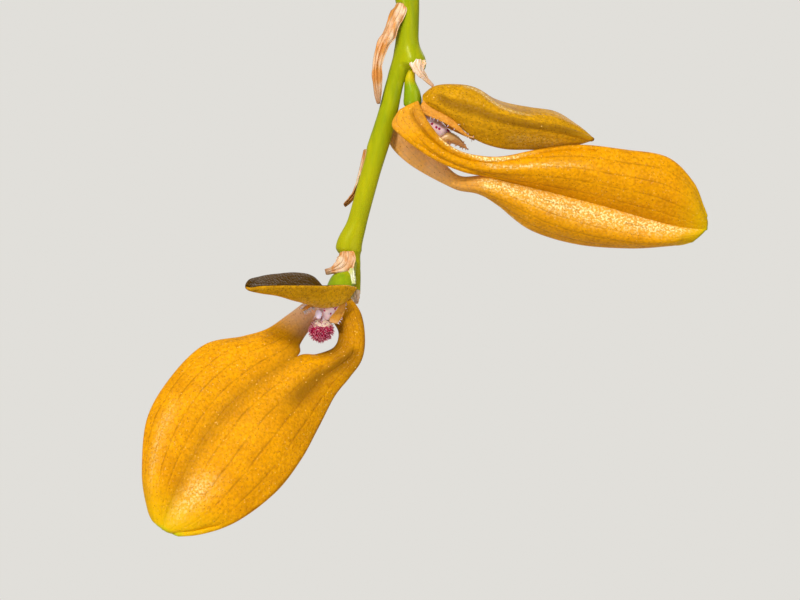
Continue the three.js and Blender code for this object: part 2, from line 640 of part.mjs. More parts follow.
// The lateral sepals: two straps round a hole, which join along a sunken seam into one long blade
// whose two halves swell like pillows
function lateralSepals({ left, right, seam, fork, pillow }) {
  const stations = left.margin.length - 1;
  const widthSteps = 4;
  const places = [];
  for (let place = 0; place <= stations; place += place < fork ? 0.5 : 1) places.push(place);
  const halfRows = (outerRail, innerRail, sign) => {
    const [outer, inner] = [smooth(vectors(outerRail)), smooth(vectors(innerRail))];
    const rows = [];
    for (const place of places) {
      const u = place / stations;
      const [from, to] = [outer.getPoint(u), inner.getPoint(u)];
      const along = outer.getTangent(u).add(inner.getTangent(u));
      const out = along.cross(to.clone().sub(from)).multiplyScalar(sign).normalize();
      const past = THREE.MathUtils.smoothstep(place, fork - 2, fork + 3);
      const tipward = Math.min(1, (1 - u) * 3.4);
      const strapCrown = from.distanceTo(to) * STRAP_CROWN;
      const swell = THREE.MathUtils.lerp(strapCrown, pillow, past) * tipward;
      rows.push(Array.from({ length: widthSteps + 1 }, (_, j) => {
        const v = j / widthSteps;
        return from.clone().lerp(to, v).addScaledVector(out, swell * Math.sin(Math.PI * v));
      }));
    }
    return rows;
  };
  const leftRows = halfRows(left.margin, [...left.inner, ...seam], 1);
  const rightRows = halfRows(right.margin, [...right.inner, ...seam], -1);
  return thickened([leftRows, rightRows.map((row) => row.reverse())], BLADE);
}

const group = new THREE.Group();

// Adds one piece: its geometry is moved back by its origin, and its mesh is placed there
function addPiece(name, geometry, material, origin = [0, 0, 0]) {
  const local = tidied(geometry).translate(-origin[0], -origin[1], -origin[2]);
  const mesh = new THREE.Mesh(local, material);
  mesh.name = name;
  mesh.position.fromArray(origin);
  group.add(mesh);
}

// The plant, from the rhizome up, each piece cut clear of those before it
const rhizome = rhizomeTubes();
const bulbs = BULBS.map(bulbGeometry);
const leaves = LEAVES.map(leafGeometry);
const stem = tube(stemCurve, stemRadius, 62, 8);

addPiece('pot', potGeometry(), TERRACOTTA);
addPiece('potting_mix', mixGeometry([...rhizome, ...bulbs, stem]), BARK);
const joinedRhizome = rhizome.map(toSolid).reduce((joined, piece) => joined.add(piece));
addPiece('rhizome', toGeometry(joinedRhizome), RHIZOME_BROWN);
BULBS.forEach(({ x, y }, i) => {
  addPiece(`pseudobulb_${i + 1}`, carved(bulbs[i], ...rhizome), BULB_GREEN, [x, y, BULB_FOOT]);
});
LEAVES.forEach(({ bulb }, i) => {
  const origin = [BULBS[bulb].x, BULBS[bulb].y, BULB_FOOT];
  addPiece(`leaf_${i + 1}`, carved(leaves[i], bulbs[bulb], ...leaves.slice(0, i)), LEAF_GREEN, origin);
});
addPiece('flower_stem', carved(stem, ...rhizome, bulbs[2]), STEM_GREEN);
SHEATHS.forEach((sheath, i) => {
  addPiece(`stem_sheath_${i + 1}`, carved(nodeBract(sheath), stem), DRY_PAPER);
});

const flowerShapes = [];
for (const flower of FLOWERS) {
  const { name, anchor } = flower;
  const placed = (geometry) => geometry.translate(...anchor);
  const spun = (piece, sides, squash) => placed(tube(
    smooth(vectors(piece.path)),
    (u) => blend(piece.radius, u),
    6,
    sides,
    squash,
  ));
  const shapes = {
    ovary: [spun(flower.ovary, 10), STEM_GREEN],
    column: [spun(flower.column, 8), COLUMN_PINK],
    lateral_sepals: [placed(lateralSepals(flower)), SEPAL_ORANGE],
    dorsal_sepal: [placed(thickened([railRows(flower.dorsal, 11, 5)], BLADE)), DORSAL_OCHRE],
    lip: [spun(flower.lip, 8, 0.7), LIP_CRIMSON],
  };
  for (const [side, petal] of Object.entries(flower.petals)) {
    shapes[side] = [placed(stripGeometry({ ...petal, cup: 0.2 }, 5)), PETAL_ORANGE];
  }
  const before = [stem];
  for (const [part, [shape, material]] of Object.entries(shapes)) {
    addPiece(`${name}_${part}`, carved(shape, ...before), material, anchor);
    before.push(shape);
  }
  flowerShapes.push(...before.slice(1));
}

const bracts = [
  ...BRACTS.map(({ spine, halfWidth, facing }) => (
    stripGeometry({ path: spine, halfWidth, facing, cup: 0.35 }, 6))),
  ...BARE_NODES.map(nodeBract),
];
bracts.forEach((bract, i) => {
  bract.computeBoundingBox();
  const near = flowerShapes.filter((shape) => {
    shape.computeBoundingBox();
    return shape.boundingBox.intersectsBox(bract.boundingBox);
  });
  addPiece(`bract_${i + 1}`, carved(bract, stem, ...near), DRY_PAPER);
});

export default group;
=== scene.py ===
"""Looks of a potted orchid, Bulbophyllum refractum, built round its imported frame.

The frame gives every piece its place. This script lays a finer surface of the same form over each
grown piece, gives it the finish of the living plant, and lights the hanging spike in a pale studio.
Lengths of the plant and the pot are millimetres, and meshes are made in metres.
"""

import logging
import math
from dataclasses import dataclass, field, replace
from enum import Enum

import bpy
import numpy as np
from mathutils import Euler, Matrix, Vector


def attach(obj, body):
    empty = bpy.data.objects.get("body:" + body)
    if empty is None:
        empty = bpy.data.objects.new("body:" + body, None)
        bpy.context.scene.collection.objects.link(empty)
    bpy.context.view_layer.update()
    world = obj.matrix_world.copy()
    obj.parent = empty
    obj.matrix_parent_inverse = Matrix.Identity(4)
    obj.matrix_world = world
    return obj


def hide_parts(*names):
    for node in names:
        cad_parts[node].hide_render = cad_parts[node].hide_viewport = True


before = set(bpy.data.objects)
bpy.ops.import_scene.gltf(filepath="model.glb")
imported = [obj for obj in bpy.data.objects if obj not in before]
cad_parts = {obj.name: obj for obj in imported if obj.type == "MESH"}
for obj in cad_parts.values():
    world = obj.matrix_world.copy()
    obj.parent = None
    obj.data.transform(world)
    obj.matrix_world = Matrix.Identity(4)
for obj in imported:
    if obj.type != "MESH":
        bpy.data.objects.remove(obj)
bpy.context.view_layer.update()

log = logging.getLogger("potted_orchid")

MM = 0.001
BODY = "root"
UP = np.array([0, 0, 1])
Triple = tuple[float, float, float]
Points = tuple[tuple[float, ...], ...]
Value = float | bpy.types.Node | bpy.types.NodeSocket


class Side(Enum):
    """The two halves of a flower, as seen from its tip."""

    LEFT = 1
    RIGHT = -1


# Curves and noise


def unit(vectors: np.ndarray) -> np.ndarray:
    """Vectors scaled to length one along the last axis."""
    return vectors / np.maximum(np.linalg.norm(vectors, axis=-1, keepdims=True), 1e-9)


def smoothstep(x: np.ndarray, low: float, high: float) -> np.ndarray:
    """A smooth climb from 0 at low to 1 at high: 3t^2 - 2t^3."""
    t = np.clip((x - low) / (high - low), 0, 1)
    return t * t * (3 - 2 * t)


def bell(x: np.ndarray, middle: float | np.ndarray, width: float | np.ndarray) -> np.ndarray:
    """A bell-shaped bump of height one: e to the minus square of the distance over the width."""
    return np.exp(-(((x - middle) / width) ** 2))


def crowded(count: int) -> np.ndarray:
    """Shares from 0 to 1 that lie closer together near both ends, on half a cosine wave."""
    return 0.5 - 0.5 * np.cos(np.linspace(0, math.pi, count))


def circle(count: int) -> np.ndarray:
    """Angles spread evenly over a full turn."""
    return np.linspace(0, 2 * math.pi, count, endpoint=False)


def turned(radius: np.ndarray | float, angle: np.ndarray, height: np.ndarray | float) -> np.ndarray:
    """Points round the upright axis, from their radii, angles and heights."""
    radius, angle, height = np.broadcast_arrays(radius, angle, height)
    return np.stack([radius * np.cos(angle), radius * np.sin(angle), height], axis=-1)


def run_along(points: np.ndarray, axis: int = 0) -> np.ndarray:
    """The length run up to each point along an axis of a line or grid."""
    return np.insert(np.linalg.norm(np.diff(points, axis=axis), axis=-1).cumsum(axis), 0, 0, axis)


def read_off(values: tuple[float, ...], u: np.ndarray) -> np.ndarray:
    """Values read off a short list of numbers spread evenly over 0 to 1."""
    return np.interp(u, np.linspace(0, 1, len(values)), values)


def line_through(points: Points | np.ndarray, u: np.ndarray, even: bool = True) -> np.ndarray:
    """Points on a Catmull-Rom line through a list of points.

    Between two neighbours runs a cubic whose slope at each is taken from the points on both sides.
    An even line spaces its knots alike; otherwise they are spaced by the square root of the chords.

    Args:
        points: the points, or arrays of points, that the line passes through.
        u: shares from 0 to 1, counted in points of the list.
        even: whether all knots are spaced alike.

    Returns:
        The points on the line, one for each share.
    """
    p = np.asarray(points, float)
    p = np.concatenate([2 * p[:1] - p[1:2], p, 2 * p[-1:] - p[-2:-1]])
    place = np.clip(u, 0, 1) * (len(p) - 3)
    i = np.minimum(place.astype(int), len(p) - 4)
    t = (place - i).reshape(-1, *[1] * (p.ndim - 1))
    a, b, c, d = p[i], p[i + 1], p[i + 2], p[i + 3]
    if even:
        slope_b, slope_c = (c - a) / 2, (d - b) / 2
    else:
        k0, k1, k2 = (np.linalg.norm(x, axis=-1, keepdims=True) ** 0.5 for x in (b - a, c - b, d - c))
        slope_b = k1 * ((b - a) / k0 - (c - a) / (k0 + k1) + (c - b) / k1)
        slope_c = k1 * ((c - b) / k1 - (d - b) / (k1 + k2) + (d - c) / k2)
    square, cube = 3 * (c - b) - 2 * slope_b - slope_c, 2 * (b - c) + slope_b + slope_c
    return b + slope_b * t + square * t**2 + cube * t**3


def wander(points: np.ndarray, size: float | Triple, seed: int) -> np.ndarray:
    """Smooth noise from -1 to 1 in space.

    Each corner of a grid of cells gets a number from a hash of its place, and a point blends the eight
    corners round it with smoothstep weights.

    Args:
        points: where the noise is wanted.
        size: the size of a cell, one number or one for each axis.
        seed: picks one noise out of many.

    Returns:
        One number for each point.
    """
    q = np.asarray(points, float) / np.asarray(size)
    cell = np.floor(q).astype(np.int64)
    part = smoothstep(q - cell, 0, 1)
    total = np.zeros(q.shape[:-1])
    for corner in np.ndindex(2, 2, 2):
        x, y, z = np.moveaxis(cell + np.array(corner), -1, 0)
        mixed = (x * 73856093 ^ y * 19349663 ^ z * 83492791 ^ seed * 40503) & 0xFFFFFFFF
        mixed = ((mixed ^ (mixed >> 15)) * 739982445) & 0xFFFFFFFF
        mixed = ((mixed ^ (mixed >> 12)) * 695872825) & 0xFFFFFFFF
        weight = np.prod(np.where(np.array(corner) == 1, part, 1 - part), axis=-1)
        total += weight * (mixed / 2147483648.0 - 1)
    return total


# Forms


@dataclass
class Form:
    """A surface as arrays.

    Attributes:
        points: corner points.
        quads: four corners for each face.
        tris: three corners for each face.
        marks: named numbers, one for each point, which the finishes read.
    """

    points: np.ndarray
    quads: np.ndarray = field(default_factory=lambda: np.zeros((0, 4), int))
    tris: np.ndarray = field(default_factory=lambda: np.zeros((0, 3), int))
    marks: dict[str, np.ndarray] = field(default_factory=dict)

    def marked(self, **marks: np.ndarray | float) -> "Form":
        """The same form with more marks; a single number is spread over all points.

        Args:
            marks: numbers for the finishes, by name.

        Returns:
            The form itself.
        """
        for name, value in marks.items():
            self.marks[name] = np.broadcast_to(np.asarray(value, float), (len(self.points),)).copy()
        return self


def joined(*forms: Form) -> Form:
    """Several forms as one, with a mark that a form lacks set to 0 there.

    Args:
        forms: the forms, in order.

    Returns:
        One form with all their points, faces and marks.
    """
    starts = np.cumsum([0] + [len(f.points) for f in forms[:-1]])
    names = {name for f in forms for name in f.marks}
    return Form(
        np.concatenate([f.points for f in forms]),
        np.concatenate([f.quads + s for f, s in zip(forms, starts)]),
        np.concatenate([f.tris + s for f, s in zip(forms, starts)]),
        {n: np.concatenate([f.marks.get(n, np.zeros(len(f.points))) for f in forms]) for n in names},
    )


def cells(index: np.ndarray) -> np.ndarray:
    """The four-cornered faces between neighbours on a grid of point numbers."""
    corners = (index[:-1, :-1], index[:-1, 1:], index[1:, 1:], index[1:, :-1])
    return np.stack(corners, axis=-1).reshape(-1, 4)


def ring_index(count: int, sides: int) -> np.ndarray:
    """The point numbers of rings of points, with each ring's first point again at its end."""
    index = np.arange(count * sides).reshape(count, sides)
    return np.concatenate([index, index[:, :1]], axis=1)


def point_normals(points: np.ndarray, quads: np.ndarray) -> np.ndarray:
    """Unit normals at the points: the sum of the faces' cross products of diagonals.

    Args:
        points: the points.
        quads: the faces between them.

    Returns:
        One normal for each point.
    """
    across = np.cross(points[quads[:, 2]] - points[quads[:, 0]], points[quads[:, 3]] - points[quads[:, 1]])
    total = np.zeros_like(points)
    for corner in range(4):
        np.add.at(total, quads[:, corner], across)
    return unit(total)


def round_edge(distance: np.ndarray, radius: float) -> np.ndarray:
    """The share of a blade's half thickness at a distance from its edge, as on a quarter circle."""
    return np.sqrt(np.clip(1 - (1 - np.clip(distance / radius, 0, 1)) ** 2, 0, 1))


def thickened(sheet: Form, half: np.ndarray) -> Form:
    """A closed blade from an open sheet.

    Every point moves half the thickness each way along its normal. Where that is 0, on the rim, the
    two faces share the point, which closes the blade.

    Args:
        sheet: the middle surface.
        half: half the thickness at each point.

    Returns:
        The blade, with the mark under, which is 1 on its back.
    """
    normal = point_normals(sheet.points, sheet.quads)
    inner = half > 0
    count = len(sheet.points)
    back = np.arange(count)
    back[inner] = count + np.arange(inner.sum())
    shift = normal * half[:, None]
    marks = {name: np.concatenate([value, value[inner]]) for name, value in sheet.marks.items()}
    made = Form(
        np.concatenate([sheet.points + shift, (sheet.points - shift)[inner]]),
        np.concatenate([sheet.quads, back[sheet.quads][:, ::-1]]),
        marks=marks,
    )
    return made.marked(under=(np.arange(len(made.points)) >= count).astype(float))


def blade(middle: np.ndarray, thickness: float, **marks: np.ndarray) -> Form:
    """A closed blade with rounded edges round a grid of middle points.

    Args:
        middle: rows by columns of points.
        thickness: of the blade away from its edges.
        marks: numbers for the finishes, as a grid, a row or a column.

    Returns:
        The blade.
    """
    rows, columns = middle.shape[:2]
    along, across = run_along(middle), run_along(middle, 1)
    distance = np.minimum.reduce([along, along[-1:] - along, across, across[:, -1:] - across])
    sheet = Form(middle.reshape(-1, 3), cells(np.arange(rows * columns).reshape(rows, columns)))
    spread = {name: np.broadcast_to(grid, (rows, columns)).reshape(-1) for name, grid in marks.items()}
    sheet.marked(**spread, edge=distance.reshape(-1))
    return thickened(sheet, (round_edge(distance, thickness * 0.7) * thickness / 2).reshape(-1))


def rings(grid: np.ndarray, **marks: np.ndarray) -> Form:
    """A closed skin over rings of points, with both ends drawn together in one point each.

    Args:
        grid: rings by sides of points; each ring closes on itself.
        marks: numbers for the finishes, as a grid or a column.

    Returns:
        The skin.
    """
    count, sides = grid.shape[:2]
    index = ring_index(count, sides)
    first, last = count * sides, count * sides + 1
    start = np.stack([np.full(sides, first), index[0, 1:], index[0, :-1]], axis=1)
    end = np.stack([np.full(sides, last), index[-1, :-1], index[-1, 1:]], axis=1)
    points = np.concatenate([grid.reshape(-1, 3), grid[:1].mean(1), grid[-1:].mean(1)])
    made = Form(points, cells(index), np.concatenate([start, end]))
    for name, given in marks.items():
        spread = np.broadcast_to(given, (count, sides))
        made.marked(**{name: np.concatenate([spread.reshape(-1), [spread[0].mean(), spread[-1].mean()]])})
    return made


def frames_along(line: np.ndarray) -> tuple[np.ndarray, np.ndarray]:
    """The side that looks at the viewer, and the direction across it and the line, along a line.

    Args:
        line: points on the line.

    Returns:
        The two directions, one of each for every point.
    """
    tangent = unit(np.gradient(line, axis=0))
    front = np.array([0, -1, 0.1])
    side = unit(front - (tangent @ front)[:, None] * tangent)
    return side, np.cross(tangent, side)


def tube(line: np.ndarray, radius: np.ndarray, sides: int, squash: float = 1, **marks: np.ndarray) -> Form:
    """A closed tube: circles round a line, each point at the radius times its direction.

    Args:
        line: the centre line.
        radius: one radius for each ring, or one for each ring and side.
        sides: points in a ring.
        squash: flattens the section towards the viewer.
        marks: columns of numbers for the finishes.

    Returns:
        The tube, with the mark along.
    """
    side, across = frames_along(line)
    angle = circle(sides)[None, :, None]
    reach = (radius if radius.ndim == 2 else radius[:, None])[..., None]
    around = side[:, None] * np.cos(angle) * squash + across[:, None] * np.sin(angle)
    return rings(line[:, None] + around * reach, along=np.linspace(0, 1, len(line))[:, None], **marks)


def egg(centre: np.ndarray, half: Triple, count: int = 20) -> Form:
    """An ellipsoid: rings at crowded heights, each of the radius that the ellipse has there.

    Args:
        centre: its middle.
        half: its three half sizes.
        count: rings.

    Returns:
        The ellipsoid, with the mark along, which climbs with the height.
    """
    rise = math.pi * np.linspace(0.02, 0.98, count)[:, None]
    ball = turned(np.sin(rise), circle(count + 4), -np.cos(rise))
    return rings(ball * np.array(half) + centre, along=(1 - np.cos(rise)) / 2)


def laid_out(path: Points | np.ndarray, facing: Triple, rows: int, columns: int) -> tuple[np.ndarray, ...]:
    """What a narrow strip along a line is built from.

    Args:
        path: the points that the middle line passes through.
        facing: where the strip's front looks.
        rows: points along.
        columns: points across.

    Returns:
        The shares along, the middle line, the directions to the front and across, and the shares
        across, from -1 to 1.
    """
    u = np.linspace(0, 1, rows)
    line = line_through(path, u)
    front = unit(np.array(facing, float))
    across = unit(np.cross(unit(np.gradient(line, axis=0)), front))
    return u, line, front, across, crowded(columns) * 2 - 1


def hairs(roots: np.ndarray, ways: np.ndarray, length: np.ndarray, radius: float, droop: float,
          sides: int = 4, steps: int = 4, blunt: float = 0.35) -> Form:
    """Many small tapered hairs in one form.

    Each hair's line is its root plus its way times the share of its length, bent down by the square
    of that share, and each ring has the radius times what the taper leaves.

    Args:
        roots: where the hairs stand.
        ways: unit directions in which they grow.
        length: of each hair.
        radius: of every hair at its foot.
        droop: how far a tip sinks, as a share of the hair's length.
        sides: corners of a hair's section.
        steps: rings of a hair.
        blunt: the share of the radius that is left at the tip.

    Returns:
        The hairs, with the mark tip, which climbs from foot to tip.
    """
    count = len(roots)
    share = np.linspace(0, 1, steps)[None, :, None]
    reach = length[:, None, None]
    line = roots[:, None] + ways[:, None] * reach * share - UP * droop * reach * share**2
    helper = np.where(np.abs(ways[:, 2:]) > 0.8, np.array([[1.0, 0, 0]]), np.array([[0, 0, 1.0]]))
    side = unit(np.cross(ways, helper))[:, None, None]
    across = np.cross(ways, side[:, 0, 0])[:, None, None]
    angle = circle(sides)[None, None, :, None]
    taper = (radius * (1 - (1 - blunt) * share))[..., None]
    grid = line[:, :, None] + (side * np.cos(angle) + across * np.sin(angle)) * taper
    tips = line[:, -1] + ways * radius * 0.7
    index = ring_index(steps, sides)
    starts = np.arange(count)[:, None] * steps * sides
    quads = (cells(index)[None] + starts[..., None]).reshape(-1, 4)
    rim, after = index[-1, :-1][None] + starts, index[-1, 1:][None] + starts
    tip = np.broadcast_to(count * steps * sides + np.arange(count)[:, None], rim.shape)
    tris = np.stack([tip, rim, after], axis=-1).reshape(-1, 3)
    along = np.broadcast_to(share[..., None], (count, steps, sides, 1)).reshape(-1)
    made = Form(np.concatenate([grid.reshape(-1, 3), tips]), quads[:, ::-1], tris[:, ::-1])
    return made.marked(tip=np.concatenate([along, np.ones(count)]))


# Finishes


def linear(colour: str) -> tuple[float, float, float, float]:
    """An sRGB hex colour as the linear colour that a shader takes."""
    parts = [int(colour[i:i + 2], 16) / 255 for i in (1, 3, 5)]
    return (*[p / 12.92 if p <= 0.04045 else ((p + 0.055) / 1.055) ** 2.4 for p in parts], 1.0)


def per(size: float) -> float:
    """A texture's scale for a pattern whose cells are this many millimetres wide."""
    return 1 / (size * MM)


def node(tree: bpy.types.NodeTree, kind: str, inputs: dict | None = None,
         **settings: object) -> bpy.types.Node:
    """Adds one node.

    Args:
        tree: the node tree of a finish or of the world.
        kind: the node's type.
        inputs: what each socket gets, by name or number: a value, a socket, or a node for its result.
        settings: the node's own properties.

    Returns:
        The new node.
    """
    made = tree.nodes.new(kind)
    for name, value in settings.items():
        setattr(made, name, value)
    for name, value in (inputs or {}).items():
        plug(tree, value, made.inputs[name])
    return made


def plug(tree: bpy.types.NodeTree, value: Value | tuple, socket: bpy.types.NodeSocket) -> None:
    """Gives a socket a value, or joins it to a socket or to the first result of a node.

    Args:
        tree: the tree that both belong to.
        value: a value, a socket or a node.
        socket: the socket to feed.
    """
    if isinstance(value, bpy.types.Node):
        value = next(out for out in value.outputs if out.enabled)
    if isinstance(value, bpy.types.NodeSocket):
        tree.links.new(value, socket)
    else:
        socket.default_value = value


class Pattern:
    """The nodes of one finish: measures of the place, and a colour that grows layer by layer."""

    def __init__(self, tree: bpy.types.NodeTree, ground: str) -> None:
        """Starts with the ground colour everywhere.

        Args:
            tree: the finish's nodes.
            ground: the hex colour to start with.
        """
        self.tree = tree
        self.shader = tree.nodes["Principled BSDF"]
        self.place = node(tree, "ShaderNodeTexCoord").outputs["Object"]
        self.colour = linear(ground)

    def mark(self, name: str) -> Value:
        """The number that the form carries under a name."""
        return node(self.tree, "ShaderNodeAttribute", attribute_name=name).outputs["Fac"]

    def noise(self, size: float, detail: float, squeeze: float = 1.0, roughness: float = 0.5) -> Value:
        """Cloudy noise, drawn out upwards where it is squeezed; its clouds are size millimetres wide.

        Args:
            size: the width of a cloud in millimetres.
            detail: how many finer layers it has.
            squeeze: the share of the height that counts; less draws it out upwards.
            roughness: how strong the finer layers are.

        Returns:
            A number from 0 to 1 at each place.
        """
        place = node(self.tree, "ShaderNodeMapping", {"Vector": self.place, "Scale": (1, 1, squeeze)})
        inputs = {"Vector": place, "Scale": per(size), "Detail": detail, "Roughness": roughness}
        return node(self.tree, "ShaderNodeTexNoise", inputs).outputs["Fac"]

    def ramp(self, value: Value, low: float = 0, high: float = 1, start: float = 0, end: float = 1) -> Value:
        """A number that goes from start to end while the value goes from low to high."""
        inputs = {"Value": value, "From Min": low, "From Max": high, "To Min": start, "To Max": end}
        return node(self.tree, "ShaderNodeMapRange", inputs)

    def math(self, operation: str, *values: Value) -> Value:
        """The result of one calculation."""
        return node(self.tree, "ShaderNodeMath", dict(enumerate(values)), operation=operation)

    def lanes(self, count: float, half: float, waver: Value = 0.0) -> Value:
        """How far a point is from the nearest lane's edge; the lanes follow the form and may waver."""
        return self.math("PINGPONG", self.math("MULTIPLY_ADD", self.mark("across"), count, waver), half)

    def spots(self, spacing: float, share: float, core: float, edge: float, strength: float = 1.0,
              ragged: Value = 0.0) -> Value:
        """Round spots in some cells.

        Args:
            spacing: the width of a cell in millimetres.
            share: how many of the cells have a spot.
            core: how far from its middle a spot is full, in cells.
            edge: how far from its middle it ends, in cells.
            strength: of a spot's middle.
            ragged: what shifts its edge.

        Returns:
            The strength of the spots at each place.
        """
        net = node(self.tree, "ShaderNodeTexVoronoi", {"Vector": self.place, "Scale": per(spacing)})
        distance = self.math("ADD", net.outputs["Distance"], ragged)
        chosen = self.math("GREATER_THAN", net.outputs["Color"], 1 - share)
        return self.math("MULTIPLY", self.ramp(distance, core, edge, strength, 0), chosen)

    def domes(self, size: float) -> Value:
        """Small domes: one less the square of the distance from the middle of each cell."""
        net = node(self.tree, "ShaderNodeTexVoronoi", {"Vector": self.place, "Scale": per(size)})
        return self.math("SUBTRACT", 1.0, self.math("POWER", net.outputs["Distance"], 2.0))

    def layer(self, share: Value, colour: str) -> None:
        """Lays a colour over what is there, by its share."""
        inputs = {0: share, 6: self.colour, 7: linear(colour)}
        self.colour = node(self.tree, "ShaderNodeMix", inputs, data_type="RGBA")

    def relief(self, height: Value, strength: float, depth: float, under: Value | None = None) -> Value:
        """Relief of a depth in millimetres, on top of another relief if there is one."""
        inputs = {"Height": height, "Strength": strength, "Distance": depth * MM}
        return node(self.tree, "ShaderNodeBump", inputs | ({} if under is None else {"Normal": under}))

    def show(self, relief: Value | None = None, coat_relief: Value | None = None) -> None:
        """Hands the colour and the relief to the shader.

        Args:
            relief: of the flesh, if it has any.
            coat_relief: of the wet coat over it.
        """
        plug(self.tree, self.colour, self.shader.inputs["Base Color"])
        for value, name in ((relief, "Normal"), (coat_relief, "Coat Normal")):
            if value is not None:
                plug(self.tree, value, self.shader.inputs[name])


@dataclass(frozen=True)
class Finish:
    """What every finish has: a name, a ground colour, and the smoothness and glow of its surface."""

    name: str
    roughness: float = 0.5
    subsurface: float = 0.0
    coat: float = 0.0
    coat_roughness: float = 0.2
    specular: float = 0.5
    specular_tint: str = "#ffffff"
    ground: str = "#808080"

    def material(self) -> bpy.types.Material:
        """The material, made once and then found by its name.

        Returns:
            The material.
        """
        known = bpy.data.materials.get(self.name)
        if known:
            return known
        made = bpy.data.materials.new(self.name)
        made.use_nodes = True
        pattern = Pattern(made.node_tree, self.ground)
        uniform = {
            "Roughness": self.roughness, "Subsurface Weight": self.subsurface, "Subsurface Scale": 0.6 * MM,
            "Subsurface Radius": (1.0, 0.5, 0.12), "Coat Weight": self.coat,
            "Coat Roughness": self.coat_roughness, "Specular IOR Level": self.specular,
            "Specular Tint": linear(self.specular_tint),
        }
        for name, value in uniform.items():
            pattern.shader.inputs[name].default_value = value
        self.dress(pattern)
        return made

    def dress(self, pattern: Pattern) -> None:
        """Adds the finish's own pattern, which each finish writes for itself."""


@dataclass(frozen=True)
class SepalFlesh(Finish):
    """A fresh sepal: waxy flesh whose skin is a layer of tiny domed cells, so it sparkles in points.

    Dark veins run from foot to tip and fine red-brown dots are strewn between them. The foot blushes
    pink and the tip turns yellow and then green. Furrows get painted shade and crests a painted frosty
    highlight, and the inner face gets painted shade that makes it darker than the outer one.
    """

    specular_tint: str = "#ffc04a"
    ground: str = "#eea302"
    deep: str = "#c67f02"
    vein: str = "#965c04"
    dot: str = "#a05c0a"
    # The colour of the flecks: pale papillae and painted glints
    fleck: str = "#ffcf6c"
    # The colour of the painted frosty highlight
    painted_frost: str = "#fff0a8"
    tip: str = "#e2b704"
    end: str = "#b9b80e"
    blush: str = "#ffcc9e"
    # The painted shade of the hollow inner face
    inner: str = "#4c3200"
    # The painted shade that the folds lay in furrows and on edges
    shadow: str = "#8d5d05"
    veins: float = 5.0
    vein_depth: float = 0.6
    dots: float = 0.4
    glint_flecks: float = 0.25

    def dress(self, pattern: Pattern) -> None:
        """Blends patches, painted shade in furrows, a painted frosty highlight, veins, blush, tip, dots and
        flecks, and domes the skin's cells.

        Args:
            pattern: the nodes to build on.
        """
        p = pattern
        along = p.mark("along")
        patches = p.noise(3.2, 4)
        p.layer(p.ramp(patches, 0.42, 0.72, end=0.5), self.deep)
        p.layer(p.ramp(p.noise(0.4, 2), 0.4, 0.75, end=0.85), self.deep)
        # Painted shade where the folds darken furrows and edges that turn from the light
        p.layer(p.mark("dusk"), self.shadow)
        # The painted frost is a highlight in grains that stand for cells catching the light, drawn 0.28 mm
        # wide so that they show
        painted_glitter = p.ramp(p.noise(0.28, 3), 0.48, 0.6, 0.12)
        p.layer(p.math("MULTIPLY", p.mark("pale"), painted_glitter), self.painted_frost)
        # A vein is a thin line on a lane's edge, broken by the patches and gone before the tip
        lane = p.lanes(self.veins, 0.5, p.math("MULTIPLY", patches, 0.2))
        whole = p.math("MULTIPLY", p.ramp(along, 0.96, 0.75), p.ramp(patches, 0.35, 0.6, 0.25))
        p.layer(p.math("MULTIPLY", p.ramp(lane, 0, 0.085, self.vein_depth, 0), whole), self.vein)
        p.layer(p.ramp(p.math("MULTIPLY", p.mark("blush"), patches), 0, 0.6), self.blush)
        p.layer(p.ramp(along, 0.8, 0.99), self.tip)
        p.layer(p.ramp(along, 0.965, 1), self.end)
        # Painted shade on the hollow inner face of the dorsal sepal
        p.layer(p.mark("inner"), self.inner)
        # Dots of about 0.12 mm, and pale flecks on a net of their own, partly pale papillae and partly
        # painted glints; both fade towards the tip
        for tint, spacing, share, reach in (
            (self.dot, 0.34, self.dots, 0.85),
            (self.fleck, 0.4, self.glint_flecks, 0.4),
        ):
            fade = p.ramp(along, 1, reach, 0.25)
            p.layer(p.math("MULTIPLY", p.spots(spacing, share, 0.12, 0.28, 0.8), fade), tint)
        swell = p.relief(p.ramp(lane, 0, 0.16), 0.5, 0.07, p.relief(patches, 0.4, 0.25))
        # Each cell of the skin is a small dome, drawn 0.36 mm wide so that it shows; real ones are finer
        domes = p.domes(0.36)
        p.show(p.relief(domes, 0.6, 0.08, swell), p.relief(domes, 1.0, 0.13, swell))


@dataclass(frozen=True)
class StemSkin(Finish):
    """A fresh green stem: smooth, waxy and a little see-through, with pale and dark flecks."""

    specular_tint: str = "#e8f08a"
    ground: str = "#a9ad06"
    shade: str = "#8b9a08"
    ripe: str = "#d2bb10"
    fleck: str = "#e9edb0"
    dark: str = "#4c3a12"
    foot: str = "#6d7424"

    def dress(self, pattern: Pattern) -> None:
        """Blends long soft streaks, the browner foot of the climbing part, gold and sparse flecks.

        Args:
            pattern: the nodes to build on.
        """
        streaks = pattern.noise(1.1, 4, 0.2)
        pattern.layer(pattern.ramp(streaks, 0.35, 0.7), self.shade)
        pattern.layer(pattern.mark("warm"), self.foot)
        pattern.layer(pattern.mark("gold"), self.ripe)
        pattern.layer(pattern.spots(0.9, 0.07, 0.08, 0.18), self.fleck)
        pattern.layer(pattern.spots(1.4, 0.05, 0.08, 0.18), self.dark)
        pattern.show(pattern.relief(streaks, 0.4, 0.12))


